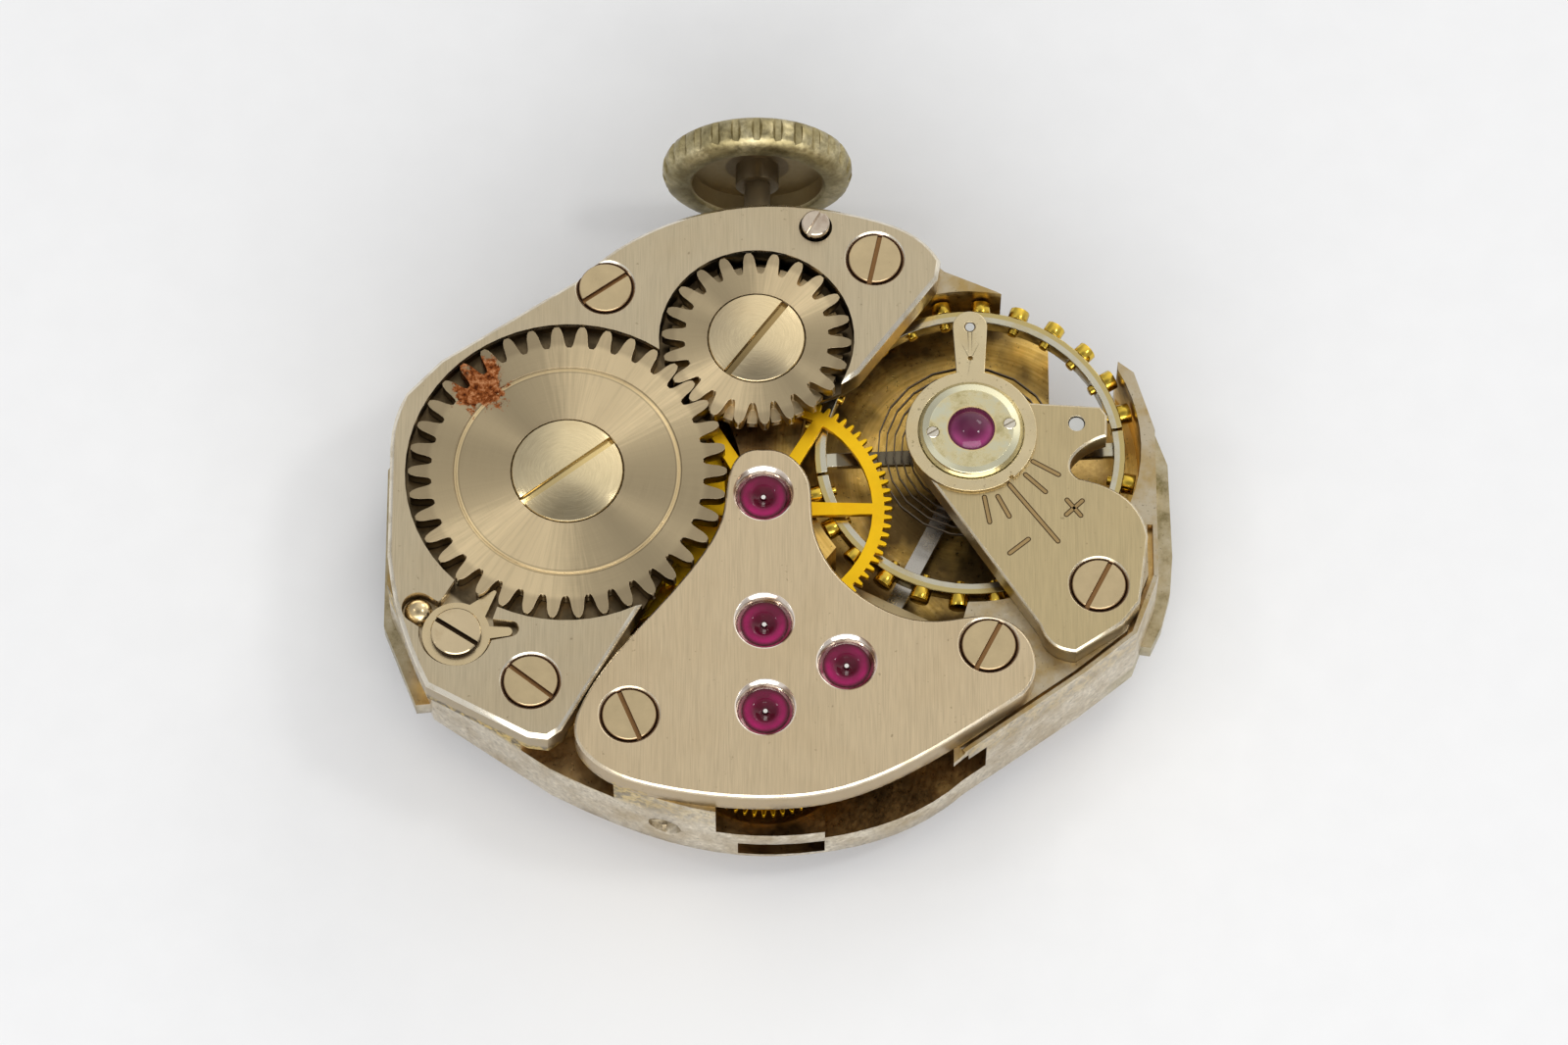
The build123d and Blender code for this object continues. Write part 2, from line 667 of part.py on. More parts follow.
def click_room():
    """The sunk seat of the click, open towards the ratchet wheel."""
    at = (click_x, click_y)
    room = disc(at, click_radius + wheel_gap, click_height, bridge_top + overrun)
    beak = shift(at, polar(click_radius * 1.75, click_beak_angle + 15))
    room += prism(link(at, click_radius * 0.9, beak, click_radius * 0.7), click_height, bridge_top + overrun)
    tail = shift(at, polar(click_radius * 1.6, click_tail_angle))
    room += prism(link(at, click_radius * 0.5, tail, click_radius * 0.25), click_height, bridge_top + overrun)
    spring_end = shift(at, (-click_radius * 1.12, click_radius * 0.75))
    room += prism(link(at, click_radius * 0.5, spring_end, click_radius * 0.48), click_height,
                  bridge_top + overrun)
    return room + disc(at, screw_shank_radius + pivot_clearance, wall_top - overrun, bridge_top)


def train_bridge():
    bridge = prism(outline(train_bridge_shares), wall_top, bridge_top)
    bridge = chamfer(bridge.edges().group_by(Axis.Z)[-1], edge_bevel)
    for at in (centre, third, fourth, escape):
        bridge -= jewel_well(at, bridge_top)
    for at in train_screws:
        bridge -= screw_well(at, bridge_top)
    return bridge


def balance_cock():
    low, high = wall_top + cock_lift, cock_top
    cock = prism(outline(cock_shares), low, high)
    cock = chamfer(cock.edges().group_by(Axis.Z)[-1], edge_bevel)
    cock -= disc(balance, jewel_radius, low - overrun, high + overrun)
    cock -= disc(stud_place, stud_radius + seat_gap, low - overrun, high + overrun)
    return cock - screw_well(cock_screw, high)


def pallet_cock():
    side = lever_angle + 90
    foot = shift(pallet, polar(pallet_foot_reach, side))
    other = shift(pallet, polar(pallet_foot_reach, side + 180))
    low = pallet_level + pallet_thickness + wheel_gap * 2
    high = low + pallet_thickness
    top = prism(link(foot, pallet_distance * 0.24, other, pallet_distance * 0.24), low, high)
    for at in (foot, other):
        top += disc(at, pallet_distance * 0.2, plate_floor, low)
    return top - disc(pallet, pivot_radius + pivot_clearance, low - overrun, high + overrun)


def barrel_drum():
    low = barrel_bottom
    face = train_gear(barrel_teeth, barrel_module, barrel_turn)
    drum = Pos(barrel[0], barrel[1], 0) * prism(face, low, low + barrel_tooth_height)
    drum += disc(barrel, drum_radius, low, low + barrel_height - barrel_cover_thickness)
    drum -= disc(barrel, drum_radius - barrel_wall, low + barrel_wall, low + barrel_height)
    return drum - disc(barrel, barrel_arbor_radius + pivot_clearance, low - overrun, low + overrun)


def barrel_cover():
    high = barrel_bottom + barrel_height
    return ring(barrel, barrel_arbor_radius + pivot_clearance, drum_radius, high - barrel_cover_thickness, high)


def barrel_arbor():
    low = barrel_bottom + barrel_wall + pivot_clearance
    high = barrel_bottom + barrel_height - barrel_cover_thickness - pivot_clearance
    body = disc(barrel, barrel_core_radius, low, high)
    body += disc(barrel, barrel_arbor_radius, barrel_bottom - seat_gap, winding_floor + seat_gap)
    body += disc(barrel, barrel_arbor_radius / 2, plate_floor * 0.3, low)
    square = barrel_square
    body += bar(barrel, square, square, winding_floor,
                bridge_top - ratchet_hub_height - pivot_clearance)
    tapped = disc(barrel, hub_shank_radius * 0.5, bridge_top - hub_shank_length * 1.6, bridge_top)
    return body - tapped


def spiral(at, inner, outer, thickness, turns, low, high, steps=22):
    """A flat coiled strip from its inner end to its outer end."""
    count = turns * steps
    inside, outside = [], []
    for step in range(count + 1):
        radius = inner + (outer - inner) * step / count
        angle = 360 * step / steps
        inside.append(polar(radius, angle))
        outside.append(polar(radius + thickness, angle))
    return Pos(at[0], at[1], 0) * prism(polygon(inside + outside[::-1]), low, high)


def mainspring():
    low = barrel_bottom + barrel_wall + running_gap
    high = barrel_bottom + barrel_height - barrel_cover_thickness - running_gap
    outer = drum_radius - barrel_wall - mainspring_thickness - seat_gap
    inner = barrel_core_radius + seat_gap
    return spiral(barrel, inner, outer, mainspring_thickness, mainspring_turns, low, high)


def winding_face(teeth, turn):
    """Deep teeth that taper to a rounded tip, with narrow round-bottomed gaps."""
    pitch_radius = winding_module * teeth / 2
    pitch_angle = 360 / teeth
    points = []
    for tooth in range(teeth):
        middle = turn + tooth * pitch_angle
        sides = []
        for height, width in winding_tooth_shares:
            radius = pitch_radius + height * (winding_dedendum if height < 0 else winding_addendum)
            sides.append((radius, width * pitch_angle / 2))
        points += [polar(radius, middle - half) for radius, half in sides]
        points += [polar(radius, middle + half) for radius, half in sides[::-1]]
    return polygon(points)


def winding_wheel(at, teeth, turn, hub_radius):
    """A steel wheel with deep teeth, its hub seat sunk for the screw's wide head."""
    high = bridge_top
    low = high - winding_wheel_thickness
    wheel = Pos(at[0], at[1], 0) * prism(winding_face(teeth, turn), low, high)
    return wheel - disc(at, hub_radius + seat_gap, high - ratchet_hub_height, high + overrun)


def ratchet_wheel():
    wheel = winding_wheel(barrel, ratchet_teeth, crown_direction, ratchet_hub_radius)
    wheel -= ring(barrel, ratchet_groove_radius, ratchet_groove_radius + groove_width,
                  bridge_top - groove_depth, bridge_top + overrun)
    hole = barrel_square + pivot_clearance
    return wheel - bar(barrel, hole, hole, 0, bridge_top + overrun)


def crown_wheel():
    half_tooth = 180 / crown_wheel_teeth
    wheel = winding_wheel(crown_axis, crown_wheel_teeth, crown_direction + 180 + half_tooth, crown_hub_radius)
    low = bridge_top - winding_wheel_thickness
    teeth = gear_face(crown_wheel_teeth, winding_module, 0, winding_dedendum, 0.3, 0.5, crown_direction)
    crown_teeth = prism(teeth - Circle(crown_face_inner), low - crown_face_height, low)
    wheel += Pos(crown_axis[0], crown_axis[1], 0) * crown_teeth
    return wheel - disc(crown_axis, crown_seat_radius + pivot_clearance, 0, bridge_top + overrun)


def crown_wheel_seat():
    high = bridge_top - ratchet_hub_height - pivot_clearance
    return ring(crown_axis, hub_shank_radius + pivot_clearance, crown_seat_radius, winding_floor, high)


def hub_screw(at, radius, angle, bore, low):
    head = slotted_head(at, radius, bridge_top - ratchet_hub_height, bridge_top + seat_gap, hub_slot_width,
                        slot_depth, angle)
    return head + disc(at, bore, low, bridge_top - ratchet_hub_height)


crown_direction = math.degrees(math.atan2(crown_axis[1] - barrel[1], crown_axis[0] - barrel[0]))
hub_slot_angles = (37.0, 53.0)


def click():
    at = (click_x, click_y)
    low, high = click_height + seat_gap, click_height + seat_gap + click_thickness
    beak_root = shift(at, polar(click_radius * 0.75, click_beak_angle))
    beak = shift(at, polar(click_radius * 1.72, click_beak_angle))
    tail = shift(at, polar(click_radius * 1.5, click_tail_angle))
    face = Pos(*at) * Circle(click_radius)
    face += link(beak_root, click_radius * 0.34, beak, click_radius * 0.06)
    face += link(at, click_radius * 0.28, tail, click_radius * 0.14)
    return prism(face, low, high) - disc(at, click_screw_radius * 0.8, low - overrun, high + overrun)


def click_screw():
    at = (click_x, click_y)
    low = click_height + seat_gap * 2 + click_thickness
    head = slotted_head(at, click_screw_radius, low, bridge_top + seat_gap, slot_width, slot_depth, -33)
    head += disc(at, click_screw_radius * 0.8 - pivot_clearance, click_height, low)
    return head + disc(at, screw_shank_radius, wall_top + seat_gap, click_height)


def click_spring():
    """The spring's screw, a domed head beside the click."""
    end = shift((click_x, click_y), (-click_radius * 1.12, click_radius * 0.75))
    low = click_height + pivot_clearance
    radius = click_radius * 0.42
    return disc(end, radius, low, bridge_top - radius) + dome(end, radius, bridge_top - radius)


def dome(at, radius, low):
    """Half a ball standing on a level."""
    return (Pos(at[0], at[1], low) * Sphere(radius)) & disc(at, radius * 2, low, low + radius * 2)


def centre_wheel():
    return spoked_wheel(centre, centre_teeth, centre_module, centre_wheel_level, 6, third_angle,
                        centre_arbor_radius)


def centre_pinion():
    body = pinion(centre, centre_pinion_leaves, barrel_module, barrel_bottom + seat_gap,
                  barrel_bottom + barrel_tooth_height * 1.3,
                  mesh_turn(barrel, barrel_teeth, barrel_turn, centre, centre_pinion_leaves))
    body += disc(centre, centre_arbor_radius, -cannon_reach * 0.85, centre_wheel_level - running_gap)
    body += disc(centre, arbor_radius, centre_wheel_level - running_gap, bridge_top - jewel_sink_depth - jewel_height)
    return body + disc(centre, pivot_radius, bridge_top - jewel_sink_depth - jewel_height,
                       bridge_top - jewel_sink_depth - seat_gap)


def train_arbor(at, leaves, module, low, high, turn):
    """A pinion cut on its arbor, with pivots in the plate's jewel and the bridge's jewel."""
    top = bridge_top - jewel_sink_depth - seat_gap
    bottom = lower_jewel_top - jewel_height * 0.8
    pivot_length = jewel_height * 0.8
    body = arbor(at, bottom, top, arbor_radius, pivot_radius, pivot_length)
    return body + pinion(at, leaves, module, low, high, turn)


def third_wheel():
    return spoked_wheel(third, third_teeth, third_module, third_wheel_level, 5, fourth_angle)


def third_pinion():
    turn = mesh_turn(centre, centre_teeth, third_angle, third, third_pinion_leaves)
    return train_arbor(third, third_pinion_leaves, centre_module, centre_wheel_level - wheel_gap,
                       centre_wheel_level + wheel_thickness + wheel_gap, turn)


def fourth_wheel():
    return spoked_wheel(fourth, fourth_teeth, fourth_module, fourth_wheel_level, 5, escape_angle)


def fourth_pinion():
    return train_arbor(fourth, fourth_pinion_leaves, third_module, third_wheel_level - wheel_gap,
                       third_wheel_level + wheel_thickness + wheel_gap,
                       mesh_turn(third, third_teeth, fourth_angle, fourth, fourth_pinion_leaves))


def escape_wheel():
    """Fifteen hooked club teeth on a thin four-spoked wheel."""
    root = escape_radius * 0.8
    points = []
    for tooth in range(escape_teeth):
        start = tooth * 360 / escape_teeth
        points.append(polar(root, start))
        points.append(polar(escape_radius * 0.95, start + 5))
        points.append(polar(escape_radius, start + 9))
        points.append(polar(escape_radius * 0.94, start + 11))
        points.append(polar(root * 1.02, start + 8))
    face = polygon(points)
    inner, hub = root * 0.86, escape_radius * 0.22
    opening = Circle(inner) - Circle(hub)
    for spoke in range(4):
        opening -= Rot(0, 0, spoke * 90) * Rectangle(inner * 2.2, escape_radius * 0.09)
    wheel = prism(face - opening, escape_wheel_level, escape_wheel_level + wheel_thickness * 0.8)
    return Pos(escape[0], escape[1], 0) * wheel - disc(escape, arbor_radius, 0, bridge_top)


def escape_pinion():
    return train_arbor(escape, escape_pinion_leaves, fourth_module, fourth_wheel_level - wheel_gap,
                       fourth_wheel_level + wheel_thickness + wheel_gap,
                       mesh_turn(fourth, fourth_teeth, escape_angle, escape, escape_pinion_leaves))


lever_reach = escape_to_balance - pallet_distance - roller_radius - tooth_gap


def pallet_fork():
    low, high = pallet_level, pallet_level + pallet_thickness
    tip = (lever_reach, 0)
    face = link((0, 0), lever_width * 0.8, tip, lever_width * 0.8)
    side = escape_radius * 0.5
    back = pallet_distance - escape_radius * 0.95
    for way in (1, -1):
        face += link((0, 0), pallet_arm_width / 2, (-back * 0.5, way * side), pallet_arm_width / 2)
        face += link((lever_reach - lever_width, way * fork_notch_width * 0.6), lever_width * 0.3,
                     (lever_reach + lever_width * 0.9, way * fork_notch_width * 1.05), lever_width * 0.28)
    face -= Pos(lever_reach + fork_notch_width * 0.9, 0) * Rectangle(fork_notch_width * 2.4, fork_notch_width)
    lever = Pos(pallet[0], pallet[1], 0) * Rot(0, 0, lever_angle) * prism(face, low, high)
    return lever - disc(pallet, arbor_radius, low - overrun, high + overrun)


def pallet_stones():
    """The two ruby stones that catch the escape wheel's teeth."""
    stones = []
    side = escape_radius * 0.5
    back = pallet_distance - escape_radius * 0.95
    for way in (1, -1):
        stone = Box(pallet_arm_width * 0.8, pallet_arm_width * 0.42, pallet_thickness * 0.6)
        at = Pos(-back * 0.5 - pallet_arm_width * 0.92, way * side, pallet_level + pallet_thickness / 2)
        stones.append(Pos(pallet[0], pallet[1], 0) * Rot(0, 0, lever_angle) * at * stone)
    return Compound(children=stones)


def pallet_staff():
    top = pallet_level + pallet_thickness * 2 + wheel_gap * 2
    return arbor(pallet, lower_jewel_top - jewel_height * 0.8, top, arbor_radius, pallet_pivot_radius,
                 pallet_thickness)


def balance_wheel():
    low, high = balance_level, balance_level + balance_rim_height
    wheel = ring(balance, balance_rim_radius - balance_rim_width, balance_rim_radius, low, high)
    arm_low = low + running_gap
    wheel += bar(balance, (balance_rim_radius - balance_rim_width / 2) * 2, balance_arm_width, arm_low,
                 arm_low + balance_arm_height, balance_arm_turn)
    wheel += disc(balance, balance_hub_radius, arm_low, arm_low + balance_arm_height)
    for angle in screw_angles():
        wheel -= radial_pin(balance_shank_radius + pivot_clearance, balance_rim_radius - balance_rim_width
                            - overrun, balance_rim_radius + overrun, angle)
    for angle in (balance_arm_turn + balance_cut_turn, balance_arm_turn + balance_cut_turn + 180):
        cut = shift(balance, polar(balance_rim_radius, angle))
        wheel -= bar(cut, balance_rim_width * 3, balance_cut_width, low - overrun, high + overrun, angle)
    return wheel - disc(balance, balance_staff_radius, low - overrun, high + overrun)


def screw_angles():
    """The places round the rim that hold a timing screw, with a bare stretch at two arms."""
    step = 360 / balance_screw_places
    half = balance_screw_places // 2
    return [balance_arm_turn + place * step for place in range(balance_screw_places) if place % half != 0]


def radial_pin(radius, inner, outer, angle):
    pin = extrude(RegularPolygon(radius, balance_screw_sides), amount=outer - inner, dir=(0, 0, 1))
    level = balance_level + balance_rim_height / 2
    return Pos(balance[0], balance[1], level) * Rot(0, 0, angle) * Pos(inner, 0, 0) * Rot(0, 90, 0) * pin


def balance_screws():
    screws = []
    for angle in screw_angles():
        head = radial_pin(balance_screw_radius, balance_rim_radius, balance_rim_radius + balance_screw_head, angle)
        shank = radial_pin(balance_shank_radius, balance_rim_radius - balance_rim_width - balance_screw_tip,
                           balance_rim_radius, angle)
        screws.append(head + shank)
    return Compound(children=screws)


def balance_staff():
    top = cock_top - seat_gap
    staff = arbor(balance, lower_jewel_top - jewel_height * 0.8, top, balance_staff_radius, pivot_radius,
                  jewel_height * 0.8)
    return staff + disc(balance, balance_staff_radius * 1.8, balance_level + running_gap + balance_arm_height,
                        hairspring_level - running_gap * 2)


def balance_roller():
    low = pallet_level + pallet_thickness + running_gap
    roller = ring(balance, balance_staff_radius, roller_radius, low, low + roller_height)
    return roller - impulse_pin()


def impulse_pin():
    at = shift(balance, polar(impulse_reach, lever_angle + 180))
    return disc(at, impulse_radius, pallet_level, pallet_level + pallet_thickness + running_gap + roller_height)


def hairspring():
    coil = spiral((0, 0), hairspring_inner, hairspring_outer, hairspring_thickness, hairspring_turns,
                  hairspring_level, hairspring_level + hairspring_height, 20)
    return Pos(balance[0], balance[1], 0) * Rot(0, 0, stud_angle) * coil


def hairspring_collet():
    return ring(balance, balance_staff_radius, collet_radius, hairspring_level - running_gap,
                hairspring_level + hairspring_height + running_gap)


def hairspring_stud():
    return disc(stud_place, stud_radius, hairspring_level, cock_top - seat_gap * 3)


def regulator():
    low, high = cock_top, cock_top + regulator_thickness
    face = Circle(regulator_radius)
    tip = (0, regulator_tail_reach - regulator_tail_width / 2)
    face += Pos(*tip) * Circle(regulator_tail_width / 2)
    neck, wide = regulator_neck_width / 2, regulator_tail_width / 2
    face += polygon([(-neck, regulator_radius * 0.9), (neck, regulator_radius * 0.9), (wide, tip[1]), (-wide, tip[1])])
    face -= Circle(endpiece_radius + pivot_clearance)
    face -= Pos(0, tip[1]) * Circle(regulator_tail_width * 0.16)
    face -= Pos(0, tip[1] - regulator_tail_width) * Circle(regulator_tail_width * 0.07)
    body = Pos(balance[0], balance[1], 0) * prism(face, low, high)
    notch = polar(regulator_radius, -52)
    return body - bar(shift(balance, notch), edge_bevel * 3, edge_bevel * 2, low - overrun, high + overrun, -52)


def endpiece_places():
    return [shift(balance, polar(endpiece_screw_reach, angle)) for angle in (8, 186)]


def endpiece_setting():
    low = cock_top + pivot_clearance
    body = disc(balance, endpiece_radius, low, low + endpiece_height)
    body = chamfer(body.edges().group_by(Axis.Z)[-1], edge_bevel * 1.6)
    body -= disc(balance, cap_jewel_radius, low + endpiece_height / 3, low + endpiece_height + overrun)
    for at in endpiece_places():
        body -= disc(at, endpiece_screw_radius, low - overrun, low + endpiece_height + overrun)
    return body


def cap_jewel():
    low = cock_top + pivot_clearance + endpiece_height / 3
    stone = disc(balance, cap_jewel_radius, low, cock_top + endpiece_height)
    radius = (cap_jewel_radius**2 + cap_jewel_rise**2) / (2 * cap_jewel_rise)
    dome = Pos(balance[0], balance[1], cock_top + endpiece_height + cap_jewel_rise - radius) * Sphere(radius)
    return stone + (dome & disc(balance, cap_jewel_radius, cock_top + endpiece_height, bridge_top * 2))


def endpiece_screws():
    high = cock_top + endpiece_height + seat_gap
    return Compound(children=[
        slotted_head(at, endpiece_screw_radius, cock_top + seat_gap, high, endpiece_screw_radius / 3,
                     endpiece_screw_radius / 3, 30)
        for at in endpiece_places()
    ])


def bridge_jewels():
    top = bridge_top - jewel_sink_depth
    return Compound(children=[jewel(at, top) for at in (centre, third, fourth, escape)])


def plate_jewels():
    return Compound(children=[plate_jewel(at, lower_jewel_top) for at in (third, fourth, escape, pallet, balance)])


def cock_jewel():
    low = wall_top + cock_lift
    stone = disc(balance, jewel_radius, cock_top - jewel_height, cock_top)
    return stone - disc(balance, pivot_radius + pivot_clearance, low, cock_top + overrun)


def winding_stem():
    inner, outer = stem_inner_end, crown_face_y + crown_length * 0.7
    stem = stem_bore(stem_radius, winding_pinion_y - seat_gap, outer)
    stem += stem_bore(stem_radius * 0.55, inner, inner + stem_radius * 2)
    square_low = inner + stem_radius
    square = Box(stem_square, winding_pinion_y - square_low, stem_square, align=(Align.CENTER, Align.MIN, Align.CENTER))
    stem += Pos(stem_x, square_low, stem_level) * square
    low = stem_groove_y - stem_groove_width / 2
    groove = stem_bore(stem_radius * 2, low, low + stem_groove_width)
    return stem - (groove - stem_bore(stem_groove_radius, low - overrun, low + stem_groove_width + overrun))


def crown():
    """A rounded crown, hollow towards the movement, with round-bottomed grooves between its knurls."""
    section = polygon([(radius * crown_radius, along * crown_length) for radius, along in crown_section_shares])
    body = revolve(Plane.XZ * section, Axis.Z)
    hollow = crown_length * crown_floor_share
    body += disc((0, 0), crown_boss_radius, 0, hollow)
    for knurl in range(crown_knurls):
        at = polar(crown_radius, knurl * 360 / crown_knurls)
        groove = Pos(at[0], at[1], -overrun) * RegularPolygon(crown_knurl_radius, balance_screw_sides // 2)
        body -= extrude(groove, amount=crown_length + overrun * 2, dir=(0, 0, 1))
    body -= disc((0, 0), stem_radius, -overrun, crown_length * 0.7)
    return Pos(stem_x, crown_face_y, stem_level) * Rot(-90, 0, 0) * body


def stem_gear(teeth, radius, depth, y, length, bore):
    """A toothed sleeve on the stem, its face teeth left to the caller."""
    points = []
    for tooth in range(teeth):
        middle, step = tooth * 360 / teeth, 360 / teeth
        points.append(polar(radius - depth, middle - step * 0.28))
        points.append(polar(radius, middle - step * 0.12))
        points.append(polar(radius, middle + step * 0.12))
        points.append(polar(radius - depth, middle + step * 0.28))
    body = prism(polygon(points), 0, length) - disc((0, 0), bore, -overrun, length + overrun)
    return Pos(stem_x, y, stem_level) * Rot(-90, 0, 0) * body


def clutch_ring(y, phase):
    """Saw teeth on the end face of a sleeve."""
    step = 360 / clutch_teeth
    teeth = None
    for tooth in range(clutch_teeth):
        start = phase + tooth * step
        wedge = polygon([polar(stem_radius * 1.5, start), polar(sliding_groove_radius, start),
                         polar(sliding_groove_radius, start + step * 0.4), polar(stem_radius * 1.5, start + step * 0.4)])
        solid = prism(wedge, 0, clutch_tooth_height)
        teeth = solid if teeth is None else teeth + solid
    return Pos(stem_x, y, stem_level) * Rot(-90, 0, 0) * teeth


def winding_pinion():
    body = stem_gear(winding_pinion_teeth, winding_pinion_radius, winding_pinion_radius * 0.22, winding_pinion_y,
                     winding_pinion_length, stem_radius + pivot_clearance)
    return body + clutch_ring(winding_pinion_y - clutch_tooth_height, 0)


def sliding_pinion():
    body = stem_gear(sliding_pinion_teeth, sliding_pinion_radius, sliding_pinion_radius * 0.16, sliding_pinion_y,
                     sliding_pinion_length - clutch_tooth_height, 0)
    low = sliding_pinion_y + sliding_pinion_length * 0.5 - sliding_groove_width / 2
    groove = stem_bore(sliding_pinion_radius * 2, low, low + sliding_groove_width)
    body -= groove - stem_bore(sliding_groove_radius, low - overrun, low + sliding_groove_width + overrun)
    hole = stem_square + pivot_clearance * 2
    bore = Box(hole, sliding_pinion_length * 3, hole)
    body -= Pos(stem_x, sliding_pinion_y, stem_level) * bore
    return body


def setting_lever():
    low, high = lever_level, lever_level + lever_thickness
    pivot = (setting_screw_x, setting_screw_y)
    stud = (stem_x, stem_groove_y)
    face = link(pivot, setting_screw_head, stud, stud_pin_radius * 2.2)
    beak = (setting_beak_x, stem_groove_y - stud_pin_radius)
    face += link(stud, stud_pin_radius * 2.2, beak, stud_pin_radius)
    lever = prism(face, low, high)
    lever -= disc(stud, stud_pin_radius, low - overrun, high + overrun)
    return lever - disc(pivot, setting_screw_radius, low - overrun, high + overrun)


def setting_lever_stud():
    return disc((stem_x, stem_groove_y), stud_pin_radius, lever_level, stem_level - stem_groove_radius - seat_gap)


def setting_lever_screw():
    at = (setting_screw_x, setting_screw_y)
    head = slotted_head(at, setting_button_radius, wall_top + seat_gap, bridge_top + setting_button_rise,
                        slot_width, slot_depth, 60)
    return head + disc(at, setting_screw_radius, lever_level, wall_top + seat_gap)


def yoke():
    """The lever that keeps the sliding pinion in its place along the stem."""
    low, high = lever_level, lever_level + lever_thickness
    pivot = (yoke_pivot_x, yoke_pivot_y)
    groove_y = sliding_pinion_y + sliding_pinion_length / 2
    tip = (stem_x, groove_y)
    elbow = (stem_x - sliding_pinion_radius * 1.05, groove_y)
    width = sliding_groove_width / 2 - wheel_gap * 1.2
    face = link(pivot, yoke_pin_radius * 1.9, elbow, width) + link(elbow, width, tip, width * 0.9)
    return prism(face, low, high) - disc(pivot, yoke_pin_radius + pivot_clearance, 0, plate_floor)


def yoke_pin():
    return disc((yoke_pivot_x, yoke_pivot_y), yoke_pin_radius, cover_thickness + seat_gap, works_recess)


def keyless_cover():
    """The plate that holds the levers in, with the springy arm that positions the setting lever."""
    first = (yoke_pivot_x, yoke_pivot_y)
    second = (setting_screw_x, setting_screw_y)
    face = link(first, yoke_pin_radius * 2, (stem_x, yoke_pivot_y), winding_pinion_radius * 0.6)
    face += link((stem_x, yoke_pivot_y), winding_pinion_radius * 0.6, second, setting_screw_head * 0.9)
    return prism(face, seat_gap, cover_thickness)


def cannon_pinion():
    high = works_recess - seat_gap
    body = pinion(centre, cannon_teeth, motion_module, hour_level + motion_thickness + seat_gap, high,
                  minute_direction())
    body += disc(centre, cannon_radius, -cannon_reach, high)
    body += disc(centre, cannon_pipe_radius, -hour_pipe_reach - running_gap, hour_level + motion_thickness + seat_gap)
    return body - disc(centre, centre_arbor_radius, -cannon_reach - overrun, high + overrun)


def motion_wheel(at, teeth, module, low, turn, bore):
    face = train_gear(teeth, module, turn)
    return Pos(at[0], at[1], 0) * prism(face, low, low + motion_thickness) - disc(at, bore, low - overrun, overrun * 2)


def minute_direction():
    return math.degrees(math.atan2(minute[1], minute[0]))


def minute_turn():
    return mesh_turn(centre, cannon_teeth, minute_direction(), minute, minute_teeth)


def minute_wheel():
    wheel = motion_wheel(minute, minute_teeth, motion_module, minute_level, minute_turn(),
                         arbor_radius + pivot_clearance)
    leaves = pinion(minute, minute_pinion_leaves, hour_module, hour_level, minute_level, minute_direction())
    return wheel + leaves - disc(minute, arbor_radius + pivot_clearance, -overrun, overrun * 2)


def minute_stud():
    return disc(minute, arbor_radius, hour_level, works_recess)


def hour_wheel():
    wheel = motion_wheel(centre, hour_teeth, hour_module, hour_level, minute_direction() + 180 / hour_teeth,
                         cannon_pipe_radius + pivot_clearance)
    pipe = ring(centre, cannon_pipe_radius + pivot_clearance, hour_pipe_radius, -hour_pipe_reach, hour_level)
    return wheel + pipe


def setting_wheel():
    turn = mesh_turn(minute, minute_teeth, minute_turn(), setting, setting_teeth)
    return motion_wheel(setting, setting_teeth, motion_module, minute_level, turn, arbor_radius + pivot_clearance)


def setting_stud():
    return disc(setting, arbor_radius, hour_level, works_recess)


def bridge_screws():
    screws = [bridge_screw(at, bridge_top, slot) for at, slot in zip(barrel_screws, barrel_screw_slots)]
    screws += [bridge_screw(at, bridge_top, slot) for at, slot in zip(train_screws, train_screw_slots)]
    return Compound(children=screws + [bridge_screw(cock_screw, cock_top, cock_screw_slot)])


def dial_screw():
    length = dial_screw_radius * 1.4
    rod = Cylinder(dial_screw_radius - seat_gap, length, align=(Align.CENTER, Align.CENTER, Align.MIN))
    edge = -plate_depth / 2 + dial_screw_radius * 3
    slot = Box(dial_screw_radius * 3, slot_width, slot_depth * 2)
    rod -= Pos(0, 0, length) * slot
    return Pos(dial_screw_x, edge - dial_screw_radius * 0.1, plate_floor) * Rot(90, 0, 0) * rod


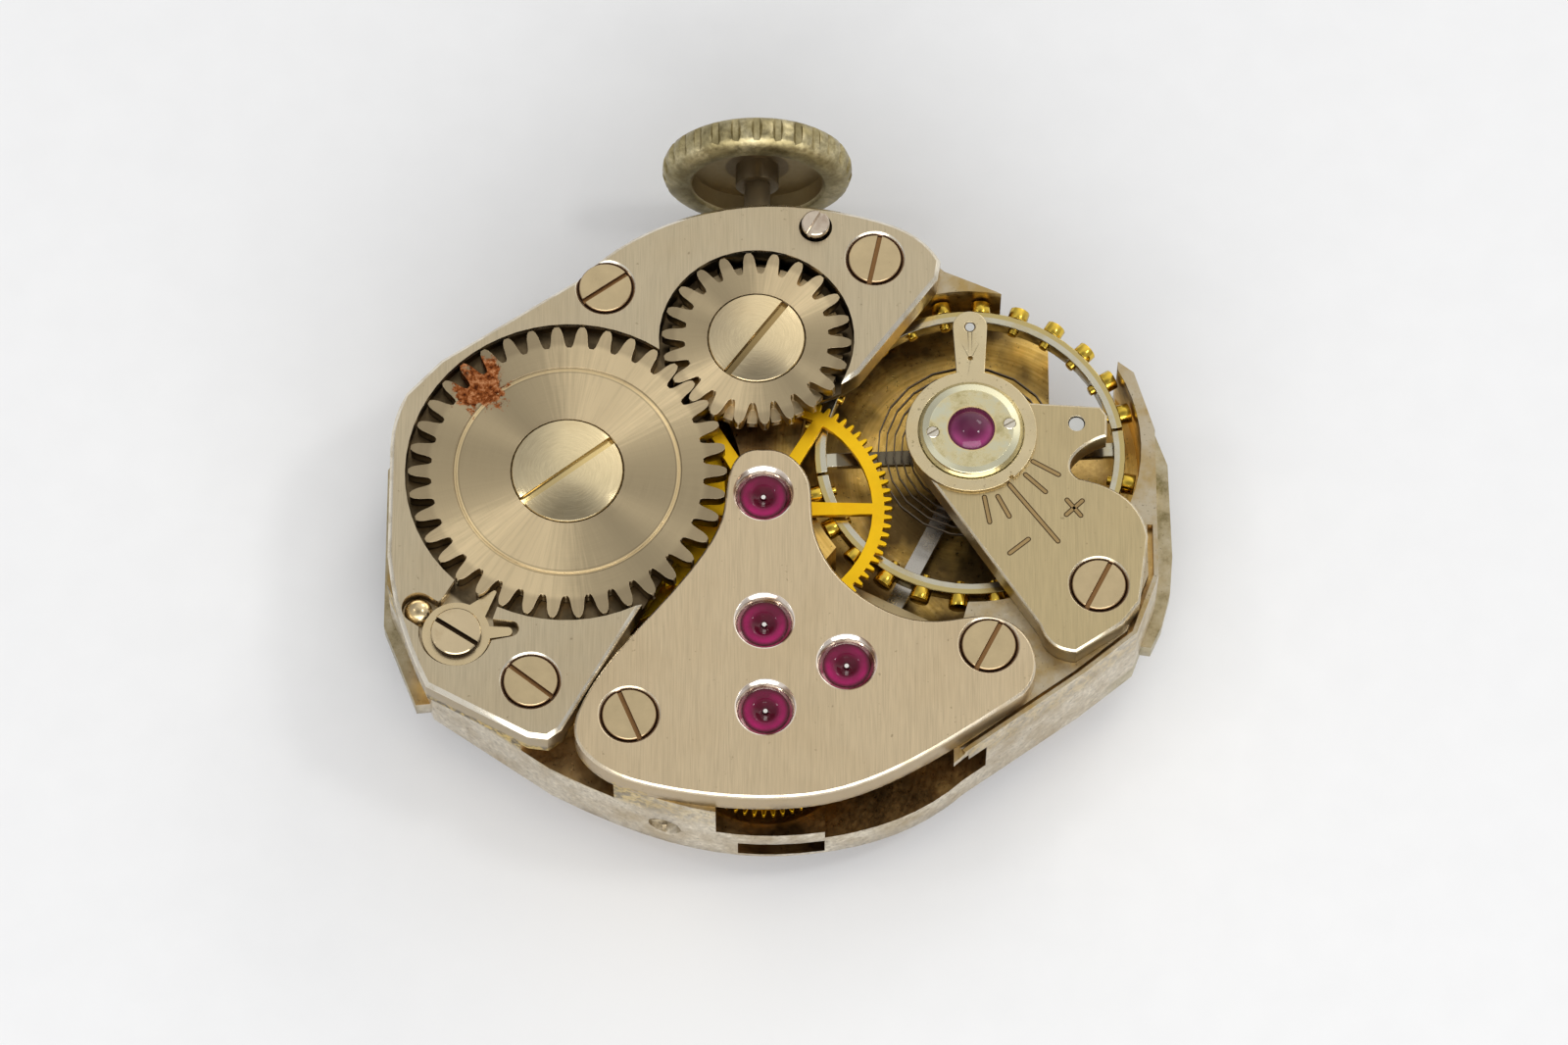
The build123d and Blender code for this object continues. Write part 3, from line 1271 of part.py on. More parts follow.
NODES = {
    "main_plate": main_plate,
    "barrel_bridge": barrel_bridge,
    "train_bridge": train_bridge,
    "balance_cock": balance_cock,
    "pallet_cock": pallet_cock,
    "barrel_drum": barrel_drum,
    "barrel_cover": barrel_cover,
    "barrel_arbor": barrel_arbor,
    "mainspring": mainspring,
    "ratchet_wheel": ratchet_wheel,
    "ratchet_wheel_screw": lambda: hub_screw(barrel, ratchet_hub_radius, hub_slot_angles[0],
                                             hub_shank_radius * 0.5 - pivot_clearance,
                                             bridge_top - hub_shank_length * 1.4),
    "crown_wheel": crown_wheel,
    "crown_wheel_seat": crown_wheel_seat,
    "crown_wheel_screw": lambda: hub_screw(crown_axis, crown_hub_radius, hub_slot_angles[1], hub_shank_radius,
                                           wall_top + seat_gap),
    "click": click,
    "click_screw": click_screw,
    "click_spring": click_spring,
    "centre_wheel": centre_wheel,
    "centre_pinion": centre_pinion,
    "third_wheel": third_wheel,
    "third_pinion": third_pinion,
    "fourth_wheel": fourth_wheel,
    "fourth_pinion": fourth_pinion,
    "escape_wheel": escape_wheel,
    "escape_pinion": escape_pinion,
    "pallet_fork": pallet_fork,
    "pallet_stones": pallet_stones,
    "pallet_staff": pallet_staff,
    "balance_wheel": balance_wheel,
    "balance_screws": balance_screws,
    "balance_staff": balance_staff,
    "balance_roller": balance_roller,
    "impulse_pin": impulse_pin,
    "hairspring": hairspring,
    "hairspring_collet": hairspring_collet,
    "hairspring_stud": hairspring_stud,
    "regulator": regulator,
    "endpiece_setting": endpiece_setting,
    "cap_jewel": cap_jewel,
    "endpiece_screws": endpiece_screws,
    "bridge_jewels": bridge_jewels,
    "cock_jewel": cock_jewel,
    "plate_jewels": plate_jewels,
    "winding_stem": winding_stem,
    "crown": crown,
    "winding_pinion": winding_pinion,
    "sliding_pinion": sliding_pinion,
    "setting_lever": setting_lever,
    "setting_lever_stud": setting_lever_stud,
    "setting_lever_screw": setting_lever_screw,
    "yoke": yoke,
    "yoke_pin": yoke_pin,
    "keyless_cover": keyless_cover,
    "cannon_pinion": cannon_pinion,
    "minute_wheel": minute_wheel,
    "hour_wheel": hour_wheel,
    "setting_wheel": setting_wheel,
    "motion_studs": lambda: Compound(children=[minute_stud(), setting_stud()]),
    "bridge_screws": bridge_screws,
    "dial_screw": dial_screw,
}

os.makedirs("parts", exist_ok=True)
for name, make in NODES.items():
    export_step(make(), f"parts/{name}.step")
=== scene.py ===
import math

import bmesh
import bpy
from mathutils import Matrix, Vector


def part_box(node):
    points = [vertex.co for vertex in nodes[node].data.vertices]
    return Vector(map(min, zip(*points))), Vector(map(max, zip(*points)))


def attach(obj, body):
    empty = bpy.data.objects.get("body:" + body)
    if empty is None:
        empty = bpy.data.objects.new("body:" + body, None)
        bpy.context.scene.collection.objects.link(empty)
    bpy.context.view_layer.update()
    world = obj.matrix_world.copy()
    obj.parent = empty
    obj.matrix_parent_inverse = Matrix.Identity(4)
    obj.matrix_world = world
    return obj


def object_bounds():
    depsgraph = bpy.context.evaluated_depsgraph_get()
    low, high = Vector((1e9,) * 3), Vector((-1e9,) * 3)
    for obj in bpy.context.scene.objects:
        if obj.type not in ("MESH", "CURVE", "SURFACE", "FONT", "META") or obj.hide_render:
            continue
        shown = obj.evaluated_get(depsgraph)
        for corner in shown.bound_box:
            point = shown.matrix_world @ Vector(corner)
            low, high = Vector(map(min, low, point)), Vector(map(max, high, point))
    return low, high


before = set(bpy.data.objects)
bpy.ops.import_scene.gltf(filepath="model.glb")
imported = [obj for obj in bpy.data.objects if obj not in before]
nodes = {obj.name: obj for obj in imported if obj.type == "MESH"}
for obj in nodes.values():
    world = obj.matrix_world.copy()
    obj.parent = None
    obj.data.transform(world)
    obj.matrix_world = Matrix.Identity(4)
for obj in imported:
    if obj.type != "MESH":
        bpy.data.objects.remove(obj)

MM = 0.001
cad_low, cad_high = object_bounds()


# Places, in millimetres

def top_of(node):
    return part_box(node)[1].z / MM


def middle_of(node):
    """A node's middle, in metres."""
    low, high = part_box(node)
    return (low + high) / 2


def axis_of(node):
    """The place in plan of the upright axis that a node is centred on."""
    middle = middle_of(node)
    return middle.x / MM, middle.y / MM


BARREL = axis_of("barrel_arbor")
CROWN_WHEEL = axis_of("crown_wheel")
BALANCE = axis_of("cap_jewel")
CENTRE = axis_of("centre_wheel")
THIRD = axis_of("third_wheel")
FOURTH = axis_of("fourth_wheel")
ESCAPE = (1.850, -4.098)
BARREL_SCREWS = [(-5.144, -4.545), (-3.596, 5.126), (2.528, 5.856)]
TRAIN_SCREWS = [(-2.955, -5.349), (5.002, -3.680)]
COCK_SCREW = (7.476, -2.175)
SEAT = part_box("train_bridge")[0].z / MM
BRIDGE_TOP = top_of("barrel_bridge")
COCK_TOP = top_of("balance_cock")

# Sizes of what is only seen in the materials, in millimetres
BEVEL_DEPTH = 0.13
BEVEL_SOFT = 0.03
SIDE_DEPTH = 0.16
SCREW_WELL = 0.645
SCREW_WELL_DEPTH = 0.30
SCREW_RIM = 0.580
SLOT_DEPTH = 0.020
SCREW_SOFT = 0.01
JEWEL_SINK = 0.69
RATCHET_RECESS = 3.90
CROWN_RECESS = 2.50
RECESS_DEPTH = 0.12
RECESS_SOFT = 0.10
STAIN_HEIGHT = 0.26
HUB_SLOT_DEPTH = 0.02
GROOVE_RADIUS = 2.5
GROOVE_LINE = 0.055
GROOVE_EDGE = 0.085
GROOVE_SOFT = 0.025
RIM_INNER = 3.05
RIM_OUTER = 3.38
PIVOT_HIGHLIGHT_FROM = 2.75
BALANCE_WELL = 4.6
FLANGE_TOP = 0.56
FLANGE_REACH = 7.5
SCREW_HOLE = 0.75
ENDPIECE_BEVEL = 0.93
JEWEL_SEAT = 0.58
JEWEL_REACH = 0.62
RING_PEAK = 0.42
CROWN_HOLLOW = 1.56
CROWN_BORE = 0.78
CROWN_SHELL = 0.20


# Node building

def put(tree, kind, settings=None, **inputs):
    """Adds a shader node; an input is a value or another node's output."""
    made = tree.nodes.new(kind)
    for key, value in (settings or {}).items():
        setattr(made, key, value)
    for key, value in inputs.items():
        numbered = key[0] == "i" and key[1:].isdigit()
        link(tree, value, made.inputs[int(key[1:])] if numbered else made.inputs[key])
    return made


def link(tree, value, socket):
    """Feeds a socket from another node's output, or sets it. A colour gets its alpha here."""
    if isinstance(value, bpy.types.NodeSocket):
        tree.links.new(value, socket)
    elif socket.type == "RGBA":
        socket.default_value = (*value, 1)
    else:
        socket.default_value = value


def listed(values):
    return {f"i{place}": value for place, value in enumerate(values)}


def maths(tree, operation, *values):
    return put(tree, "ShaderNodeMath", {"operation": operation}, **listed(values)).outputs[0]


def times(tree, first, *more):
    for factor in more:
        first = maths(tree, "MULTIPLY", first, factor)
    return first


def vectors(tree, operation, *values):
    """A vector node's result, which for a length or a distance is a number."""
    made = put(tree, "ShaderNodeVectorMath", {"operation": operation}, **listed(values))
    return made.outputs["Value" if operation in ("LENGTH", "DISTANCE", "DOT_PRODUCT") else "Vector"]


def combined(tree, x, y):
    return put(tree, "ShaderNodeCombineXYZ", None, X=x, Y=y, Z=0.0).outputs[0]


def axes(tree, vector):
    """A vector's x, y and z."""
    return put(tree, "ShaderNodeSeparateXYZ", None, Vector=vector).outputs


def grey(colour):
    return (colour,) * 3 if isinstance(colour, (int, float)) else colour


def ramp(tree, value, *stops):
    """A colour ramp from (place, colour) stops. A number stands for a grey."""
    made = put(tree, "ShaderNodeValToRGB", None, Fac=value)
    elements = made.color_ramp.elements
    while len(elements) < len(stops):
        elements.new(0.5)
    for element, (place, colour) in zip(elements, stops):
        element.position = place
        element.color = (*grey(colour), 1)
    return made.outputs[0]


def step(tree, value, low, high):
    """0 below low and 1 above high, in millimetres, and smooth between. Swapped limits turn it over."""
    ends = (0.0, 1.0) if low < high else (1.0, 0.0)
    made = put(tree, "ShaderNodeMapRange", {"interpolation_type": "SMOOTHSTEP"}, i0=value,
               i1=min(low, high) * MM, i2=max(low, high) * MM, i3=ends[0], i4=ends[1])
    return made.outputs[0]


def blend(tree, share, first, second):
    """From the first colour to the second by a share. A number stands for a grey."""
    made = put(tree, "ShaderNodeMix", {"data_type": "RGBA"}, i0=share, i6=grey(first), i7=grey(second))
    return made.outputs[2]


def noise(tree, where, scale, detail=3.0, roughness=0.55):
    return put(tree, "ShaderNodeTexNoise", None, Vector=where, Scale=scale, Detail=detail,
               Roughness=roughness).outputs[0]


def stretched(tree, where, x, y, z):
    """Coordinates in metres multiplied along each axis, so that noise at scale 1 has grains of 1/x."""
    return vectors(tree, "MULTIPLY", where, (x, y, z))


def around(tree, where, axis):
    """The offset in plan from an axis along Z, the distance and the angle."""
    offset = vectors(tree, "SUBTRACT", where, (axis[0] * MM, axis[1] * MM, 0))
    flat = vectors(tree, "MULTIPLY", offset, (1, 1, 0))
    parts = axes(tree, flat)
    return flat, vectors(tree, "LENGTH", flat), maths(tree, "ARCTAN2", parts[1], parts[0])


def nearest(tree, where, places):
    """The distance in plan to the nearest of some places."""
    best = around(tree, where, places[0])[1]
    for place in places[1:]:
        best = maths(tree, "MINIMUM", best, around(tree, where, place)[1])
    return best


def facing(tree):
    """The face's own direction, as x, y and z."""
    return axes(tree, put(tree, "ShaderNodeNewGeometry").outputs["True Normal"])


def levelled(tree):
    """The smooth shading direction, but exactly the face's own where the face lies level."""
    geometry = put(tree, "ShaderNodeNewGeometry")
    own = geometry.outputs["True Normal"]
    level = ramp(tree, axes(tree, own)[2], (0.985, 0.0), (0.995, 1.0))
    return blend(tree, level, geometry.outputs["Normal"], own)


def start(name):
    """A new material, its tree, its shader and the coordinates in the node's own metres."""
    material = bpy.data.materials.new(name)
    material.use_nodes = True
    tree = material.node_tree
    return material, tree, tree.nodes["Principled BSDF"], put(tree, "ShaderNodeTexCoord").outputs["Object"]


def bump(tree, shader, height, strength, distance, before=None):
    """Shades the surface by a height. A bump made before is carried on."""
    normal = levelled(tree) if before is None else before.outputs[0]
    made = put(tree, "ShaderNodeBump", None, Strength=strength, Distance=distance, Height=height,
               Normal=normal)
    link(tree, made.outputs[0], shader.inputs["Normal"])
    return made


def surface(tree, shader, tone, rough, metallic=1.0):
    link(tree, tone, shader.inputs["Base Color"])
    link(tree, rough, shader.inputs["Roughness"])
    shader.inputs["Metallic"].default_value = metallic


def shade(colour, factor):
    return tuple(min(1.0, factor * c) for c in colour)


# Colours that several metals share

CHAMPAGNE = (0.515, 0.432, 0.292)
STEEL = (0.50, 0.40, 0.245)
STAIN = (0.46, 0.33, 0.17)
BROWN = (0.165, 0.073, 0.030)
SLOT_FLOOR_BROWN = (0.33, 0.185, 0.075)
# Pale cream painted on the bridges' bevels as their highlight, broken up by wear
BEVEL_SHEEN_AND_WEAR = (0.80, 0.74, 0.62)


# Metals

def joint_stain(tree, where):
    """How far old oil covers the metal along a joint, most at the left, and its golden, dotted colour."""
    left = maths(tree, "MULTIPLY_ADD", step(tree, axes(tree, where)[0], -1.6, -4.6), 0.75, 0.25)
    cover = ramp(tree, noise(tree, where, 1500.0, 4.0, 0.7), (0.32, 0.0), (0.44, 0.95))
    colour = ramp(tree, noise(tree, where, 5200.0, 3.0, 0.6), (0.44, (0.11, 0.075, 0.025)),
                  (0.56, (0.64, 0.46, 0.12)))
    return times(tree, cover, left), colour


def brushed(name, colour, top, screws, jewels=(), edge_share=0.5, well=None):
    """Plated bridge metal with fine straight brushing, bevels painted pale as their highlight and broken up
    by wear, a stained joint, brown rings about its screws and polished jewel sinks painted with patches of
    bright and dark reflection. A well's colour is painted into the recesses below the winding wheels as their
    shade."""
    material, tree, shader, where = start(name)
    high = axes(tree, where)[2]
    tilt = facing(tree)[2]
    lines = noise(tree, stretched(tree, where, 52000, 1400, 18000), 1.0, 2.0, 0.5)
    wide = noise(tree, stretched(tree, where, 9000, 500, 4000), 1.0, 2.0, 0.5)
    patches = noise(tree, where, 420.0, 4.0, 0.6)
    specks = noise(tree, where, 8000.0, 2.0, 0.5)
    tone = ramp(tree, lines, (0.30, shade(colour, 0.88)), (0.5, colour), (0.72, shade(colour, 1.10)))
    tone = blend(tree, ramp(tree, wide, (0.35, 0.0), (0.75, 0.35)), tone, shade(colour, 1.10))
    tone = blend(tree, ramp(tree, patches, (0.45, 0.0), (0.78, 0.25)), tone, STAIN)
    tone = blend(tree, ramp(tree, specks, (0.71, 0.0), (0.78, 0.45)), tone, shade(STAIN, 0.35))
    rough = ramp(tree, lines, (0.3, 0.28), (0.7, 0.42))

    # Painted highlight: the sloping bevels just below the top are painted pale cream and made less rough,
    # broken up by wear
    worn = ramp(tree, noise(tree, where, 2600.0, 4.0, 0.6), (0.36, 0.35), (0.55, 1.0))
    bevel = times(tree, step(tree, high, top - BEVEL_DEPTH, top - BEVEL_DEPTH + BEVEL_SOFT),
                  ramp(tree, tilt, (0.93, 1.0), (0.985, 0.0)), worn, edge_share)
    tone = blend(tree, bevel, tone, BEVEL_SHEEN_AND_WEAR)
    rough = blend(tree, bevel, rough, 0.20)
    side = step(tree, high, top - SIDE_DEPTH + 0.05, top - SIDE_DEPTH)
    tone = blend(tree, times(tree, side, 0.35), tone, shade(STAIN, 0.6))
    share, stained = joint_stain(tree, where)
    joint = times(tree, step(tree, high, SEAT + STAIN_HEIGHT, SEAT + 0.10), step(tree, tilt, 0.5, 0.2), share)
    tone = blend(tree, joint, tone, stained)

    if well:
        # Painted shade: the floors of the recesses under the ratchet and crown wheels are painted the well's
        # dark, mottled brown
        deep = ramp(tree, noise(tree, where, 1700.0, 4.0, 0.65), (0.38, shade(well, 0.45)), (0.62, well))
        ratchet = step(tree, nearest(tree, where, [BARREL]), RATCHET_RECESS, RATCHET_RECESS - RECESS_SOFT)
        crown = step(tree, nearest(tree, where, [CROWN_WHEEL]), CROWN_RECESS, CROWN_RECESS - RECESS_SOFT)
        below = step(tree, high, top - RECESS_DEPTH, top - RECESS_DEPTH - 0.06)
        tone = blend(tree, times(tree, maths(tree, "MAXIMUM", ratchet, crown), below), tone, deep)
    ring = times(tree, step(tree, nearest(tree, where, screws), SCREW_WELL, SCREW_WELL - 0.009),
                 step(tree, high, top - SCREW_WELL_DEPTH, top - SCREW_WELL_DEPTH + 0.03))
    tone = blend(tree, times(tree, ring, 0.92), tone, BROWN)
    rough = blend(tree, ring, rough, 0.5)
    if jewels:
        sink = step(tree, nearest(tree, where, jewels), JEWEL_SINK, JEWEL_SINK - 0.02)
        # Painted reflection: the polished sinks get random patches of pale and dark colour
        painted_sink_reflection = ramp(tree, noise(tree, where, 1150.0, 2.0, 0.5), (0.43, (0.30, 0.19, 0.12)),
                      (0.53, (0.88, 0.78, 0.68)))
        tone = blend(tree, sink, tone, painted_sink_reflection)
        rough = blend(tree, sink, rough, 0.13)
    surface(tree, shader, tone, rough)
    bump(tree, shader, lines, 0.25, 0.0000012)
    return material


def painted_fans(tree, tone, colour, radius, angle, turn):
    """Painted highlight and shade: two bright and two dark wedges over a turned face, broken up into rays.
    The turn is in degrees.
    """
    swing = maths(tree, "COSINE", maths(tree, "MULTIPLY_ADD", angle, 2.0, math.radians(-2 * turn)))
    rays = noise(tree, combined(tree, times(tree, angle, 26.0), times(tree, radius, 500.0)), 1.0, 3.0, 0.7)
    painted_light_share = maths(tree, "ADD", maths(tree, "MULTIPLY_ADD", swing, 0.5, 0.5),
                   maths(tree, "MULTIPLY_ADD", rays, 0.6, -0.3))
    # Painted shade in the dark wedges, then painted highlight in the bright ones
    tone = blend(tree, painted_light_share, shade(colour, 0.79), tone)
    return blend(tree, ramp(tree, painted_light_share, (0.62, 0.0), (1.05, 0.8)), tone, shade(colour, 1.6))


def grooved(tree, tone, radius):
    """The ratchet wheel's turned ring: a bright line between two dark ones."""
    near = maths(tree, "ABSOLUTE", maths(tree, "SUBTRACT", radius, GROOVE_RADIUS * MM))
    line = step(tree, near, GROOVE_LINE, GROOVE_LINE - GROOVE_SOFT)
    edge = step(tree, near, GROOVE_EDGE, GROOVE_LINE)
    tone = blend(tree, times(tree, line, 0.75), tone, (0.80, 0.62, 0.34))
    return blend(tree, times(tree, maths(tree, "SUBTRACT", edge, line), 0.45), tone, (0.16, 0.12, 0.07))


def rusted(tree, where, patch, tone, rough):
    """Rust scattered in a ragged patch about a point, as (x, y, half width, half height)."""
    x, y, wide, high = (value * MM for value in patch)
    offset = vectors(tree, "SUBTRACT", where, (x, y, BRIDGE_TOP * MM))
    reach = vectors(tree, "LENGTH", stretched(tree, offset, 1 / wide, 1 / high, 0))
    ragged = noise(tree, where, 3000.0, 6.0, 0.75)
    share = maths(tree, "SUBTRACT", times(tree, ragged, 2.35), times(tree, reach, 0.95))
    mask = ramp(tree, share, (0.30, 0.0), (0.44, 1.0))
    colour = ramp(tree, noise(tree, where, 7500.0, 4.0, 0.7), (0.36, (0.10, 0.022, 0.008)),
                  (0.5, (0.42, 0.13, 0.035)), (0.66, (0.80, 0.42, 0.20)))
    return blend(tree, mask, tone, colour), blend(tree, mask, rough, 0.75)


def turned(name, colour, axis, stain=None, roughness=0.40, anisotropy=0.93, dome=None, slot=None, turn=None,
           tips=None, groove=False, rust=None):
    """Metal turned about an axis along Z, whose highlights fan out from the centre; a turn, in degrees, adds
    two bright and two dark wedges of painted highlight and shade. A dome is the radius, in millimetres, by
    which the face is shaded as crowned, and a slot is (height, colour). The metal darkens beyond the radius
    given as tips."""
    material, tree, shader, where = start(name)
    flat, radius, angle = around(tree, where, axis)
    lines = noise(tree, combined(tree, times(tree, radius, 30000.0), times(tree, angle, 2.2)), 1.0, 3.0, 0.6)
    tone = ramp(tree, lines, (0.25, shade(colour, 0.88)), (0.75, shade(colour, 1.08)))
    rough = ramp(tree, lines, (0.3, roughness - 0.05), (0.7, roughness + 0.07))
    if turn:
        tone = painted_fans(tree, tone, colour, radius, angle, turn)
    if stain:
        patches = noise(tree, where, 700.0, 4.0, 0.6)
        tone = blend(tree, ramp(tree, patches, (0.5, 0.0), (0.8, 0.45)), tone, stain)
    if groove:
        tone = grooved(tree, tone, radius)
    if slot:
        level, residue = slot
        tone = blend(tree, step(tree, axes(tree, where)[2], level, level - 0.01), tone, residue)
    if tips:
        tone = blend(tree, times(tree, step(tree, radius, tips, tips + 0.15), 0.35), tone, (0.20, 0.15, 0.09))
    if rust:
        tone, rough = rusted(tree, where, rust, tone, rough)
    surface(tree, shader, tone, rough)
    shader.inputs["Anisotropic"].default_value = anisotropy
    to_world = {"vector_type": "VECTOR", "convert_from": "OBJECT", "convert_to": "WORLD"}
    outward = put(tree, "ShaderNodeVectorTransform", to_world, Vector=vectors(tree, "NORMALIZE", flat))
    link(tree, outward.outputs[0], shader.inputs["Tangent"])
    crowned = None
    if dome:
        crowned = bump(tree, shader, times(tree, radius, radius, -0.5 / (dome * MM)), 1.0, 1.0)
    bump(tree, shader, lines, 0.2, 0.000001, crowned)
    return material


def smooth_metal(name, colour, roughness=0.2, stain=None, scale=1500.0, below=None, speck=0.0,
                 stain_share=0.6, bounds=None):
    """Polished metal with light handling marks. What lies below a height, as (height, colour), takes another
    colour, and so does what lies near an axis or far from it, as (axis, near, colour, far, colour)."""
    material, tree, shader, where = start(name)
    marks = noise(tree, where, scale, 5.0, 0.65)
    tone = ramp(tree, marks, (0.3, shade(colour, 0.88)), (0.7, colour))
    rough = ramp(tree, marks, (0.3, roughness - 0.05), (0.7, roughness + 0.08))
    if stain:
        patches = noise(tree, where, 1100.0, 4.0, 0.65)
        tone = blend(tree, ramp(tree, patches, (0.48, 0.0), (0.75, stain_share)), tone, stain)
    if speck:
        dots = noise(tree, where, 12000.0, 2.0, 0.5)
        tone = blend(tree, ramp(tree, dots, (0.64, 0.0), (0.74, speck)), tone, shade(stain or colour, 0.25))
    if bounds:
        axis, near, near_colour, far, far_colour = bounds
        radius = around(tree, where, axis)[1]
        tone = blend(tree, step(tree, radius, far, far + 0.03), tone, far_colour)
        tone = blend(tree, step(tree, radius, near, near - 0.05), tone, near_colour)
    if below:
        level, low_colour = below
        mask = step(tree, axes(tree, where)[2], level, level - 0.008)
        tone = blend(tree, mask, tone, low_colour)
        rough = blend(tree, mask, rough, 0.5)
    surface(tree, shader, tone, rough)
    bump(tree, shader, marks, 0.10, 0.000002)
    return material


def screw_heads():
    """Champagne screw heads whose slots are dark brown, paler brown on their level floors. The cock's screw
    lies lower.
    """
    material, tree, shader, where = start("screws")
    colour = (0.585, 0.460, 0.268)
    right, _, high = axes(tree, where)
    marks = noise(tree, where, 2200.0, 5.0, 0.65)
    tone = ramp(tree, marks, (0.3, shade(colour, 0.86)), (0.7, colour))
    lower = times(tree, step(tree, right, 6.0, 6.1), (BRIDGE_TOP - COCK_TOP) * MM)
    head = BRIDGE_TOP - SLOT_DEPTH
    slot = step(tree, maths(tree, "ADD", high, lower), head, head - 0.025)
    reach = nearest(tree, where, BARREL_SCREWS + TRAIN_SCREWS + [COCK_SCREW])
    rim = times(tree, step(tree, reach, SCREW_RIM, SCREW_RIM + SCREW_SOFT), 0.85)
    dark = maths(tree, "MAXIMUM", slot, rim)
    tone = blend(tree, dark, tone, BROWN)
    level = times(tree, slot, ramp(tree, facing(tree)[2], (0.5, 0.0), (0.9, 0.8)))
    tone = blend(tree, level, tone, SLOT_FLOOR_BROWN)
    surface(tree, shader, tone, blend(tree, dark, ramp(tree, marks, (0.3, 0.26), (0.7, 0.38)), 0.5))
    bump(tree, shader, marks, 0.10, 0.000002)
    return material


def plate_rings(tree, where, across):
    """Noise drawn out into turned rings: round the fourth wheel in front, and round the balance elsewhere."""
    rings = []
    for axis in (BALANCE, FOURTH):
        _, radius, angle = around(tree, where, axis)
        grain = combined(tree, times(tree, radius, 16000.0), times(tree, angle, 0.6))
        rings.append(noise(tree, grain, 1.0, 1.0, 0.5))
    return blend(tree, step(tree, across, -1.0, -1.4), *rings)


def plate_inside(tree, where, patches):
    """Oil-browned brass, golden below the balance, with patches of painted shade and of painted golden
    glints, and a paler top ledge.
    """
    right, across, high = axes(tree, where)
    rings = plate_rings(tree, where, across)
    shade_and_glint_noise = noise(tree, where, 620.0, 3.0, 0.55)
    well = step(tree, around(tree, where, BALANCE)[1], BALANCE_WELL, BALANCE_WELL - 0.4)
    tone = ramp(tree, rings, (0.25, (0.27, 0.150, 0.052)), (0.55, (0.35, 0.205, 0.074)),
                (0.85, (0.45, 0.28, 0.11)))
    golden = ramp(tree, rings, (0.25, (0.66, 0.41, 0.095)), (0.55, (0.84, 0.55, 0.15)),
                  (0.85, (1.0, 0.70, 0.24)))
    # Painted shade: near-black patches, darker away from the balance well
    shaded = blend(tree, well, (0.05, 0.030, 0.015), (0.12, 0.075, 0.032))
    tone = blend(tree, well, tone, golden)
    tone = blend(tree, ramp(tree, shade_and_glint_noise, (0.42, 0.0), (0.60, 0.9)), tone, shaded)
    front = times(tree, step(tree, right, -0.3, -0.9), step(tree, right, -6.0, -5.4))
    slot_walls = ramp(tree, patches, (0.35, (0.26, 0.165, 0.07)), (0.6, (0.50, 0.34, 0.16)))
    tone = blend(tree, front, tone, slot_walls)
    # Painted highlight: golden glints where the same noise is low
    tone = blend(tree, ramp(tree, shade_and_glint_noise, (0.33, 0.8), (0.41, 0.0)), tone, (0.78, 0.52, 0.19))
    ledge = blend(tree, ramp(tree, patches, (0.40, 0.0), (0.62, 0.85)), (0.50, 0.43, 0.31),
                  (0.40, 0.27, 0.09))
    return blend(tree, step(tree, high, SEAT - 0.25, SEAT - 0.05), tone, ledge)


def plate_outside(tree, where, fine, patches):
    """Speckled silver with brown patches, stained along the joint with the bridges."""
    _, across, high = axes(tree, where)
    tone = ramp(tree, fine, (0.3, (0.48, 0.42, 0.32)), (0.7, (0.82, 0.75, 0.62)))
    tone = blend(tree, ramp(tree, patches, (0.44, 0.0), (0.68, 0.65)), tone, (0.37, 0.27, 0.13))
    share, stained = joint_stain(tree, where)
    front = times(tree, step(tree, high, SEAT - 1.0, SEAT - 0.65), step(tree, across, 0.0, -1.0))
    joint = maths(tree, "MAXIMUM", front, step(tree, high, SEAT - 0.5, SEAT - 0.3))
    return blend(tree, times(tree, joint, share), tone, stained)


def outer_wall(tree, where):
    """1 where the plate's surface looks away from its middle, and inside the dial screw's hole."""
    normal, place = facing(tree), axes(tree, where)
    outward = maths(tree, "ADD", times(tree, normal[0], times(tree, place[0], 110.0)),
                    times(tree, normal[1], times(tree, place[1], 135.0)))
    mouth = middle_of("dial_screw")
    mouth.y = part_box("dial_screw")[0].y
    hole = step(tree, vectors(tree, "DISTANCE", where, tuple(mouth)), SCREW_HOLE, SCREW_HOLE - 0.1)
    return maths(tree, "MAXIMUM", ramp(tree, outward, (0.25, 0.0), (0.45, 1.0)), hole)


def base_metal():
    """The main plate: bright outside, brown and ringed by its turning inside, olive on its side flanges."""
    material, tree, shader, where = start("plate")
    fine = noise(tree, where, 9000.0, 4.0, 0.6)
    patches = noise(tree, where, 900.0, 4.0, 0.65)
    tone = blend(tree, outer_wall(tree, where), plate_inside(tree, where, patches),
                 plate_outside(tree, where, fine, patches))
    olive = ramp(tree, noise(tree, where, 1400.0, 5.0, 0.7), (0.32, (0.17, 0.150, 0.070)),
                 (0.46, (0.42, 0.36, 0.225)), (0.7, (0.58, 0.52, 0.38)))
    right, _, high = axes(tree, where)
    far = maths(tree, "ABSOLUTE", right)
    flange = times(tree, step(tree, high, FLANGE_TOP, FLANGE_TOP - 0.08),
                   step(tree, far, FLANGE_REACH, FLANGE_REACH + 0.7))
    tone = blend(tree, flange, tone, olive)
    pits = ramp(tree, noise(tree, where, 16000.0, 2.0, 0.5), (0.66, 0.0), (0.76, 0.7))
    tone = blend(tree, pits, tone, (0.04, 0.028, 0.015))
    surface(tree, shader, tone, ramp(tree, fine, (0.3, 0.26), (0.7, 0.46)))
    bump(tree, shader, fine, 0.55, 0.000005)
    return material


